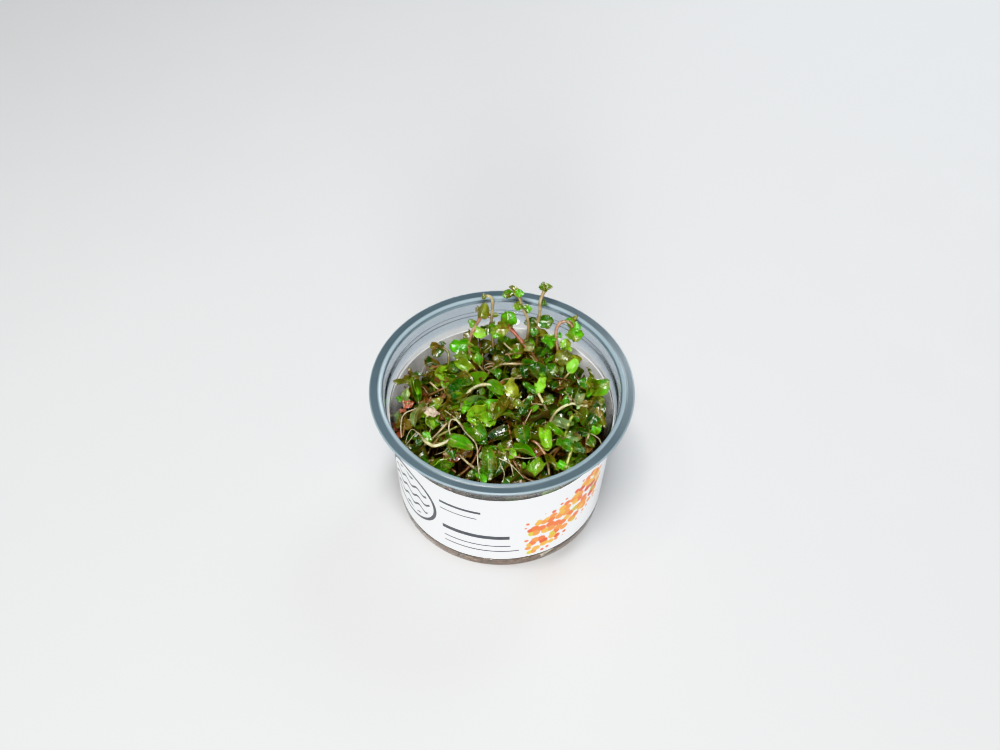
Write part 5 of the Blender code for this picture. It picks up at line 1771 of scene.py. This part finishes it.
def ground_under(floor, x, y, radius):
    """The highest point of the mat under a stem's foot."""
    down = Vector((0, 0, -1))
    around = [(x + a * radius, y + b * radius, ABOVE_MAT) for a in (-1, 0, 1) for b in (-1, 0, 1)]
    return max(floor.ray_cast(Vector(point), down)[0].z for point in around)


def solid_routes():
    """For each shoot, the settled route of its solid stem, and those of the roots that hang from it."""
    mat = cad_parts["root_mat"].data
    floor = BVHTree.FromPolygons([v.co / MM for v in mat.vertices], [p.vertices for p in mat.polygons])
    routes, radii, owners = [], [], []
    for number, shoot in enumerate(SHOOTS):
        x, y = shoot.foot
        foot = (x, y, ground_under(floor, x, y, shoot.radius) + STEM_START_GAP)
        routes.append(smooth_route([foot, (x, y, foot[2] + STEM_UPRIGHT), *shoot.route], ROUTE_STEP))
        radii.append(shoot.radius)
        owners.append(number)
        for root in shoot.roots:
            routes.append(smooth_route(root, ROUTE_STEP))
            radii.append(SOLID_ROOT_RADIUS)
            owners.append(number)
    found = [[] for _ in SHOOTS]
    for route, owner in zip(settle(routes, radii, owners), owners):
        found[owner].append(route)
    return found


def stem_strand(route, radius, tone, rng, browning=BROWNED):
    """A tapering stem with swollen, redder nodes, brown in its old lower part, and darker low down with age
    and with painted shade under the leaves.
    """
    line = smooth_route(route, FINE_STEP)
    along = np.arange(len(line)) * FINE_STEP
    places = np.arange(rng.uniform(FIRST_NODE, NODE_SPACING), along[-1], NODE_SPACING)
    near = np.array([np.exp(-((place - along) / NODE_WIDTH) ** 2) for place in places])
    node = near.max(axis=0) if len(near) else np.zeros(len(line))
    taper = np.linspace(1, STEM_TAPER, len(line))
    thing = strand("stem", line, radius * taper * (1 + NODE_SWELL * node), STEM_DETAIL)
    from_tip = along[-1] - along
    browned = browning * np.clip((from_tip - YOUNG_LENGTH) / YOUNG_FADE, 0, 1)
    # Darker low down: partly the old stem and partly painted shade under the leaves
    old_and_shaded = np.clip((OLD_SHADED_STEM_TOP - line[:, 2]) / OLD_SHADED_STEM_FADE, 0, 1)
    tones = np.array(tone)
    for share, aged in ((browned, BROWN_TONE), (old_and_shaded, OLD_SHADED_STEM_TONE), (NODE_REDDENED * node, NODE_TONE)):
        tones = tones * (1 - share[:, None]) + np.array(aged) * share[:, None]
    points = np.array([vertex.co for vertex in thing.data.vertices]) / MM
    nearest = np.linalg.norm(points[:, None] - line[None], axis=2).argmin(axis=1)
    paint(thing.data, tones[nearest])
    thing.data.materials.append(bpy.data.materials["stem_skin"])
    return thing


def thread(route, radius, tone):
    """A thin pale root."""
    line = smooth_route(route, FINE_STEP)
    thing = strand("thread", line, np.linspace(radius, radius * THREAD_END, len(line)), THREAD_DETAIL)
    paint(thing.data, tone)
    thing.data.materials.append(bpy.data.materials["root_thread"])
    return thing


def canopy(x, y):
    """About how high the leaves stand over this place in the cup."""
    return CANOPY_TOP + CANOPY_SLOPE * min(y - CANOPY_FRONT, 0) - CANOPY_FALL * x * x


def sprig_route(foot, tips, rng):
    """A side sprig's curve from its stem towards the emptiest place within reach."""
    best, most = None, -1
    for _ in range(SPRIG_TRIES):
        heading = rng.uniform(0, 2 * math.pi)
        reach = rng.uniform(*SPRIG_REACH)
        x = foot[0] + reach * math.cos(heading)
        y = foot[1] + reach * math.sin(heading)
        if math.hypot(x, y) > room_radius(foot[2]) - SPRIG_ROOM:
            continue
        free = min(math.hypot(x - tip[0], y - tip[1]) for tip in tips)
        if free > most:
            best, most = (x, y), free
    if best is None:
        return None
    x, y = best
    z = max(canopy(x, y) - rng.uniform(*SPRIG_DEPTHS), foot[2] + SPRIG_RISE)
    shares = (SPRIG_BEND_OUT, SPRIG_BEND_OUT, SPRIG_BEND_UP)
    bend = [start + share * (end - start) for start, end, share in zip(foot, (x, y, z), shares)]
    return smooth_route([foot, bend, (x, y, z)], FINE_STEP)


def grown_leaf(base, heading, turns, lengths, lifts, tone, rng):
    """A leaf of any form that grows out of its base about this way."""
    length = rng.uniform(*lengths)
    bearing = heading + rng.uniform(*turns)
    out = towards(bearing, rng.uniform(*lifts)).normalized()
    form = rng.choices(*EXTRA_FORMS)[0]
    width = length * rng.uniform(*LEAF_SLENDER)
    return Leaf(Vector(base) + out * length, width, form, tone, rng.uniform(*EXTRA_TURNS))


def pair(growth, base, facing, lengths, lifts, tone, rng):
    """Two opposite leaves out of one node, without any that would hide a leaf of the front."""
    for half in (0, math.pi):
        leaf = grown_leaf(base, facing + half, PAIR_TURNS, lengths, lifts, tone, rng)
        if not covers_a_seen_leaf(base, leaf, growth.seen):
            yield leaf_at(growth.shapes, base, leaf, rng)


def sprig(growth, foot, tone, rng):
    """A side sprig with its pairs of leaves, each pair across the last, and a bud of small ones."""
    route = sprig_route(foot, growth.tips, rng)
    if route is None:
        return
    growth.tips.append(tuple(route[-1]))
    yield stem_strand(route, SPRIG_RADIUS, tone, rng)
    facing = rng.uniform(0, math.pi)
    for share in rng.choice(SPRIG_PAIRS):
        base = route[int(share * (len(route) - 1))]
        yield from pair(growth, base, facing, SPRIG_LEAVES, SPRIG_LIFT, rng.choices(*EXTRA_TONES)[0], rng)
        facing += math.pi / 2
    for _ in range(2):
        yield from pair(growth, route[-1], facing, BUD_LEAVES, BUD_LIFT, rng.choices(*BUD_TONES)[0], rng)
        facing += math.pi / 2
    if rng.random() < ROOTED_SPRIGS:
        yield hair_root(route[len(route) // 2], rng)


def companions(shapes, base, leaf, rng):
    """Small young leaves in the same joint as a leaf."""
    for _ in range(rng.choice(COMPANIONS) if leaf.width > SMALL_LEAF else 0):
        young = grown_leaf(base, 0, ALL_ROUND, COMPANION_LEAVES, COMPANION_LIFT, leaf.tone, rng)
        yield leaf_at(shapes, base, young, rng)


def covers_a_seen_leaf(base, leaf, seen):
    """Whether a leaf would hide one of the leaves or pale stems that the front shows."""
    middle = np.array(Vector(base).lerp(Vector(leaf.tip), 0.5))
    off = middle - seen
    nearer = off @ np.array(TO_FRONT)
    aside = np.linalg.norm(off - nearer[:, None] * np.array(TO_FRONT), axis=1)
    return bool(((nearer > 0) & (aside < SEEN_RADIUS)).any())


def hair_root(foot, rng):
    """A fine pale root that arches out of a node and hangs down."""
    heading = rng.uniform(0, 2 * math.pi)
    reach = rng.uniform(*HAIR_REACH)
    bearing = heading + rng.uniform(-HAIR_TURN, HAIR_TURN)
    foot = Vector(foot)
    rise = towards(heading, rng.uniform(*HAIR_RISES))
    fall = towards(bearing, rng.uniform(*HAIR_FALLS))
    route = [foot, foot + rise * reach * HAIR_ARCH_AT, foot + fall * reach]
    return thread(route, rng.uniform(*HAIR_THICKNESSES) * THREAD_RADIUS, THREAD_TONE)


def low_pairs(growth, route, bare_above, rng):
    """Darker pairs up the shaded part of a stem."""
    lengths = lengths_along(route)
    facing = rng.uniform(0, math.pi)
    place = np.interp(LOW_PAIR_FROM + rng.uniform(0, LOW_PAIR_SPREAD), route[:, 2], lengths)
    while place < lengths[-1] and np.interp(place, lengths, route[:, 2]) < bare_above:
        base = [np.interp(place, lengths, route[:, k]) for k in range(3)]
        yield from pair(growth, base, facing, LOW_LEAVES, SPRIG_LIFT, rng.choice(LOW_TONES), rng)
        facing += math.pi / 2
        place += LOW_PAIR_SPACING


def twig(growth, foot, rng):
    """A bare brown side shoot that lies across the leaves and ends in a small bud."""
    heading = rng.uniform(0, 2 * math.pi)
    bearing = heading + rng.uniform(-TWIG_TURN, TWIG_TURN)
    reach = rng.uniform(*TWIG_REACH)
    middle = Vector(foot) + towards(heading) * reach * 0.5
    end = middle + towards(bearing) * reach * 0.5
    for place, share in ((middle, TWIG_MIDDLE_DEPTH), (end, rng.uniform(*TWIG_END_DEPTHS))):
        place.z = canopy(place.x, place.y) - share * TWIG_DEPTH
    if math.hypot(end.x, end.y) > room_radius(end.z) - SPRIG_ROOM / 2:
        return
    route = smooth_route([foot, middle, end], FINE_STEP)
    yield stem_strand(route, rng.uniform(*TWIG_RADII), rng.choice(TWIG_TONES), rng)
    if rng.random() < BUDDED_TWIGS:
        facing = rng.uniform(0, math.pi)
        yield from pair(growth, route[-1], facing, BUD_LEAVES, BUD_LIFT, rng.choices(*BUD_TONES)[0], rng)


def nearest_stem(place, stems):
    """The number of the stem that passes nearest to a place, and its point there."""
    gaps = [np.linalg.norm(stem - np.array(place), axis=1) for stem in stems]
    number = min(range(len(stems)), key=lambda i: gaps[i].min())
    return number, stems[number][gaps[number].argmin()]


def leaf_base(stem, leaf):
    """The point of the stem that this leaf grows from."""
    free = stem[FIRST_LEAF_POINT:]
    return free[np.linalg.norm(free - np.array(leaf.tip), axis=1).argmin()]


def seen_places(stems):
    """What the front shows and extra leaves leave free: the middles of leaves, and some pale stems."""
    seen = [
        (np.array(leaf_base(stem, leaf)) + np.array(leaf.tip)) / 2
        for shoot, stem in zip(SHOOTS, stems) for leaf in shoot.leaves
    ]
    seen += [(np.array(end) + np.array(leaf.tip)) / 2 for end, leaf in TWIG_LEAVES]
    for shoot, stem in zip(SHOOTS, stems):
        if shoot.stem_tone in SEEN_STEMS:
            seen += list(stem[-SEEN_STEM_POINTS:])
    return np.array(seen)


def side_growth(stems):
    """For each shoot, the fine roots that lie on it and the leaves on twigs that start from it."""
    fine_roots = [[] for _ in stems]
    for route in FINE_ROOTS:
        number, foot = nearest_stem(route[0], stems)
        fine_roots[number].append([foot, *route])
    twig_leaves = [[] for _ in stems]
    for end, leaf in TWIG_LEAVES:
        number, foot = nearest_stem(Vector(end) - Vector((0, 0, TWIG_LEAF_RISE)), stems)
        twig_leaves[number].append((foot, end, leaf))
    return fine_roots, twig_leaves


def seen_leaves(shoot, stem, twig_leaves, shapes, seen_shapes, rng):
    """The leaves that the front shows, with young ones beside them and twigs under some."""
    for leaf in shoot.leaves:
        base = leaf_base(stem, leaf)
        turned_leaf = leaf._replace(turn=leaf.turn + rng.uniform(-LEAF_SWAY, LEAF_SWAY))
        yield leaf_at(seen_shapes, base, turned_leaf, rng)
        yield from companions(shapes, base, leaf, rng)
    for foot, end, leaf in twig_leaves:
        yield stem_strand([foot, end], TWIG_LEAF_RADIUS, TONES["tan"], rng)
        yield leaf_at(seen_shapes, end, leaf, rng)


def extra_growth(shoots, shoot, stem, growth, rng):
    """The pairs, sprigs and twigs that fill the cup between the leaves that are seen."""
    bare_above = min(leaf.tip[2] for leaf in shoot.leaves) - BARE_UNDER_LEAVES
    yield from low_pairs(growth, stem, bare_above, rng)
    feet = [point for point in stem if SPRIG_FROM < point[2] < SPRIG_TO]
    sparse = shoot.foot[1] < SPARSE_FRONT
    for _ in range(shoots.sprigs - sparse if feet else 0):
        yield from sprig(growth, rng.choice(feet), TONES[rng.choice(SPRIG_TONES)], rng)
    for _ in range(shoots.twigs if feet else 0):
        yield from twig(growth, rng.choice(feet), rng)


def make_shoots(shoots):
    rng = random.Random(shoots.seed)
    leaf_finish("leaf_face", LEAF_PALE, 0.0, shoots.leaf_roughness, shoots.leaf_wetness)
    duller = shoots.leaf_roughness + UNDERSIDE_DULLER
    leaf_finish("leaf_underside", LEAF_BLUSH, UNDERSIDE_WASH, duller, shoots.leaf_wetness / 2)
    strand_finish("stem_skin", *STEM_SKIN)
    if "root_thread" not in bpy.data.materials:
        strand_finish("root_thread", *ROOT_SKIN)
    shapes = leaf_shapes(EXTRA_GRID, rng)
    seen_shapes = leaf_shapes(SEEN_GRID, rng)
    routes = solid_routes()
    stems = [stem for stem, *_ in routes]
    tips = [leaf.tip for shoot in SHOOTS for leaf in shoot.leaves]
    growth = Growth(shapes, tips, seen_places(stems))
    for shoot, (stem, *roots), fine_roots, twig_leaves in zip(SHOOTS, routes, *side_growth(stems)):
        sunk = [stem[0] - np.array((0, 0, STEM_SINK)), *stem]
        browning = FRESH_BROWNED if shoot.stem_tone in SEEN_STEMS else BROWNED
        parts = [stem_strand(sunk, shoot.radius * STEM_SHARE, TONES[shoot.stem_tone], rng, browning)]
        parts += [thread(root, SOLID_ROOT_RADIUS * ROOT_SHARE, THREAD_TONE) for root in roots]
        parts += [thread(route, THREAD_RADIUS, THREAD_TONE) for route in fine_roots]
        parts += seen_leaves(shoot, stem, twig_leaves, shapes, seen_shapes, rng)
        parts += extra_growth(shoots, shoot, stem, growth, rng)
        piece = joined(shoot.name.replace("shoot", "rotala", 1), parts)
        kept_inside(piece.data)
        hand_in(piece, "foliage", shoot.name)
    for variants in (*shapes.values(), *seen_shapes.values()):
        for shape in variants:
            bpy.data.objects.remove(shape)


# Stage


def soft_light(name, place, width, height, power, colour):
    """An area light that faces the cup."""
    start()
    bpy.ops.object.light_add(type="AREA", location=place)
    lamp = bpy.context.object
    lamp.name = name
    lamp.data.shape = "RECTANGLE"
    lamp.data.size = width
    lamp.data.size_y = height
    lamp.data.energy = power
    lamp.data.color = colour
    lamp.rotation_euler = (Vector((0, 0, LAMP_AIM)) - Vector(place)).to_track_quat("-Z", "Y").to_euler()


def place_camera():
    """The camera that took the photo: where it stood, how far it looked down and how it was rolled."""
    start()
    bpy.ops.object.camera_add(location=CAMERA_PLACE)
    camera = bpy.context.object
    camera.data.lens = CAMERA_LENS
    camera.data.sensor_width = CAMERA_SENSOR
    tilt, roll = math.radians(CAMERA_ELEVATION), math.radians(CAMERA_ROLL)
    ahead = Vector((0, math.cos(tilt), -math.sin(tilt)))
    upright, level = Vector((0, math.sin(tilt), math.cos(tilt))), Vector((1, 0, 0))
    right = level * math.cos(roll) - upright * math.sin(roll)
    up = upright * math.cos(roll) + level * math.sin(roll)
    camera.matrix_world = Matrix.Translation(CAMERA_PLACE) @ Matrix((right, up, -ahead)).transposed().to_4x4()
    bpy.context.scene.camera = camera


def make_stage(stage):
    start()
    bpy.ops.mesh.primitive_plane_add(size=FLOOR_SIZE)
    floor = named("studio_floor")
    material, tree, shader = finish("studio_floor", {"Specular IOR Level": 0.25})
    cover(tree, shader, lit(tree, stage.floor, mottled(tree, *FLOOR_CLOUDS)), mottled(tree, *FLOOR_DULLNESS))
    floor.data.materials.append(material)
    world = bpy.data.worlds.new("studio")
    bpy.context.scene.world = world
    world.use_nodes = True
    sky = world.node_tree.nodes["Background"]
    sky.inputs["Color"].default_value = (*stage.sky, 1)
    sky.inputs["Strength"].default_value = stage.sky_strength
    for name, place, width, height, power, colour in LAMPS:
        soft_light(name, place, width, height, power * stage.light, colour)
    place_camera()
    bpy.context.scene.view_settings.view_transform = stage.look
    bpy.context.scene.view_settings.exposure = stage.exposure


# Settings, operators and panel


def colour_property(name, description, default):
    return bpy.props.FloatVectorProperty(
        name=name, description=description, default=default, subtype="COLOR", size=3, min=0, max=1,
    )


class RotalaCup(bpy.types.PropertyGroup):
    wall: bpy.props.FloatProperty(
        name="Wall", description="Thickness of the cup's wall", default=THIN_WALL * MM, min=0.0003,
        unit="LENGTH", precision=4,
    )
    segments: bpy.props.IntProperty(
        name="Segments", description="Steps that the cup is turned in", default=160, min=48, max=360,
    )
    wall_tint: colour_property("Wall tint", "Tint of the clear wall", (0.86, 0.86, 0.85))
    upper_tint: colour_property("Upper tint", "Tint of the clear wall above the label", (0.60, 0.67, 0.73))
    foot_shade_tint: colour_property("Foot shade tint", "Brown painted shade on the wall's foot", (0.40, 0.28, 0.19))
    rim_tint: colour_property("Rim tint", "Colour of the milky rim", (0.078, 0.110, 0.128))
    rim_highlight_tint: colour_property("Rim highlight tint", "Colour of the rim's painted highlights, where it is also thick", (0.30, 0.38, 0.42))


class RotalaLabel(bpy.types.PropertyGroup):
    thickness: bpy.props.FloatProperty(
        name="Thickness", description="Thickness of the label's paper",
        default=LABEL_THICKNESS * MM, min=0.00005, unit="LENGTH", precision=4,
    )
    paper: colour_property("Paper", "Colour of the printed side", (0.94, 0.955, 0.97))
    ink: colour_property("Ink", "Colour of the rules and of the water mark", (0.035, 0.04, 0.05))
    back: colour_property("Back", "Colour of the side that faces the cup", (0.86, 0.85, 0.83))


class RotalaRoots(bpy.types.PropertyGroup):
    fibres: bpy.props.IntProperty(
        name="Fibres", description="Loose roots laid over and round the mat", default=460, min=0, max=1500,
    )
    fibre_radius: bpy.props.FloatProperty(
        name="Fibre radius", description="Radius of a middling root", default=0.00028, min=0.0001,
        unit="LENGTH", precision=5,
    )
    felt: colour_property("Felt", "Colour of the matted mass", (0.14, 0.08, 0.045))
    seed: bpy.props.IntProperty(name="Seed", description="Another lie of the roots", default=11, min=0)


class RotalaShoots(bpy.types.PropertyGroup):
    sprigs: bpy.props.IntProperty(
        name="Side sprigs", description="Side sprigs on each stem", default=2, min=0, max=6,
    )
    twigs: bpy.props.IntProperty(
        name="Twigs", description="Bare brown side shoots on each stem", default=2, min=0, max=6,
    )
    leaf_roughness: bpy.props.FloatProperty(
        name="Leaf roughness", description="How dull the leaves' faces are", default=0.3, min=0.1, max=0.9,
        subtype="FACTOR",
    )
    leaf_wetness: bpy.props.FloatProperty(
        name="Leaf wetness", description="How much water lies on the leaves", default=1.0, min=0, max=1,
        subtype="FACTOR",
    )
    seed: bpy.props.IntProperty(
        name="Seed", description="Another growth of the side sprigs", default=4, min=0,
    )


class RotalaStage(bpy.types.PropertyGroup):
    floor: colour_property("Floor", "Colour of the studio floor", (0.50, 0.505, 0.51))
    sky: colour_property("Surroundings", "Colour of the light all round", (0.95, 0.97, 1.0))
    sky_strength: bpy.props.FloatProperty(
        name="Surrounding light", description="Strength of the light all round", default=0.1, min=0,
    )
    light: bpy.props.FloatProperty(
        name="Lamps", description="Share of the lamps' power", default=1.0, min=0, subtype="FACTOR",
    )
    look: bpy.props.StringProperty(
        name="View transform", description="How the light is turned into picture colours",
        default="Khronos PBR Neutral",
    )
    exposure: bpy.props.FloatProperty(
        name="Exposure", description="Stops of exposure", default=0.0, min=-4, max=4,
    )


class ROTALA_OT_cup(bpy.types.Operator):
    """Turn the clear cup with its milky rim."""

    bl_idname = "rotala.cup"
    bl_label = "Cup"

    def execute(self, context):
        make_cup(context.scene.rotala_cup)
        return {"FINISHED"}


class ROTALA_OT_label(bpy.types.Operator):
    """Wrap the printed label round the cup."""

    bl_idname = "rotala.label"
    bl_label = "Label"

    def execute(self, context):
        make_label(context.scene.rotala_label)
        return {"FINISHED"}


class ROTALA_OT_root_mat(bpy.types.Operator):
    """Fill the bottom of the cup with matted roots."""

    bl_idname = "rotala.root_mat"
    bl_label = "Root mat"

    def execute(self, context):
        make_root_mat(context.scene.rotala_roots)
        return {"FINISHED"}


class ROTALA_OT_shoots(bpy.types.Operator):
    """Grow every shoot with its leaves, side sprigs and pale roots."""

    bl_idname = "rotala.shoots"
    bl_label = "Shoots"

    def execute(self, context):
        make_shoots(context.scene.rotala_shoots)
        return {"FINISHED"}


class ROTALA_OT_stage(bpy.types.Operator):
    """Lay the floor and set the lamps and the camera."""

    bl_idname = "rotala.stage"
    bl_label = "Stage"

    def execute(self, context):
        make_stage(context.scene.rotala_stage)
        return {"FINISHED"}


class ROTALA_PT_sidebar(bpy.types.Panel):
    bl_label = "Rotala in a clear cup"
    bl_idname = "ROTALA_PT_sidebar"
    bl_space_type = "VIEW_3D"
    bl_region_type = "UI"
    bl_category = "Rotala"

    def draw(self, context):
        for name, operator in zip(GROUPS, OPERATORS):
            box = self.layout.box()
            settings = getattr(context.scene, name)
            for field in type(settings).__annotations__:
                box.prop(settings, field)
            box.operator(operator.bl_idname)


GROUPS = {
    "rotala_cup": RotalaCup,
    "rotala_label": RotalaLabel,
    "rotala_roots": RotalaRoots,
    "rotala_shoots": RotalaShoots,
    "rotala_stage": RotalaStage,
}
OPERATORS = (ROTALA_OT_cup, ROTALA_OT_label, ROTALA_OT_root_mat, ROTALA_OT_shoots, ROTALA_OT_stage)


def register():
    for group in (*GROUPS.values(), *OPERATORS, ROTALA_PT_sidebar):
        bpy.utils.register_class(group)
    for name, group in GROUPS.items():
        setattr(bpy.types.Scene, name, bpy.props.PointerProperty(type=group))


def unregister():
    for name in GROUPS:
        delattr(bpy.types.Scene, name)
    for group in reversed((*GROUPS.values(), *OPERATORS, ROTALA_PT_sidebar)):
        bpy.utils.unregister_class(group)


def main():
    register()
    mottle_group()
    veins_group()
    bpy.ops.rotala.cup()
    bpy.ops.rotala.label()
    bpy.ops.rotala.root_mat()
    bpy.ops.rotala.shoots()
    bpy.ops.rotala.stage()


if __name__ == "__main__":
    main()
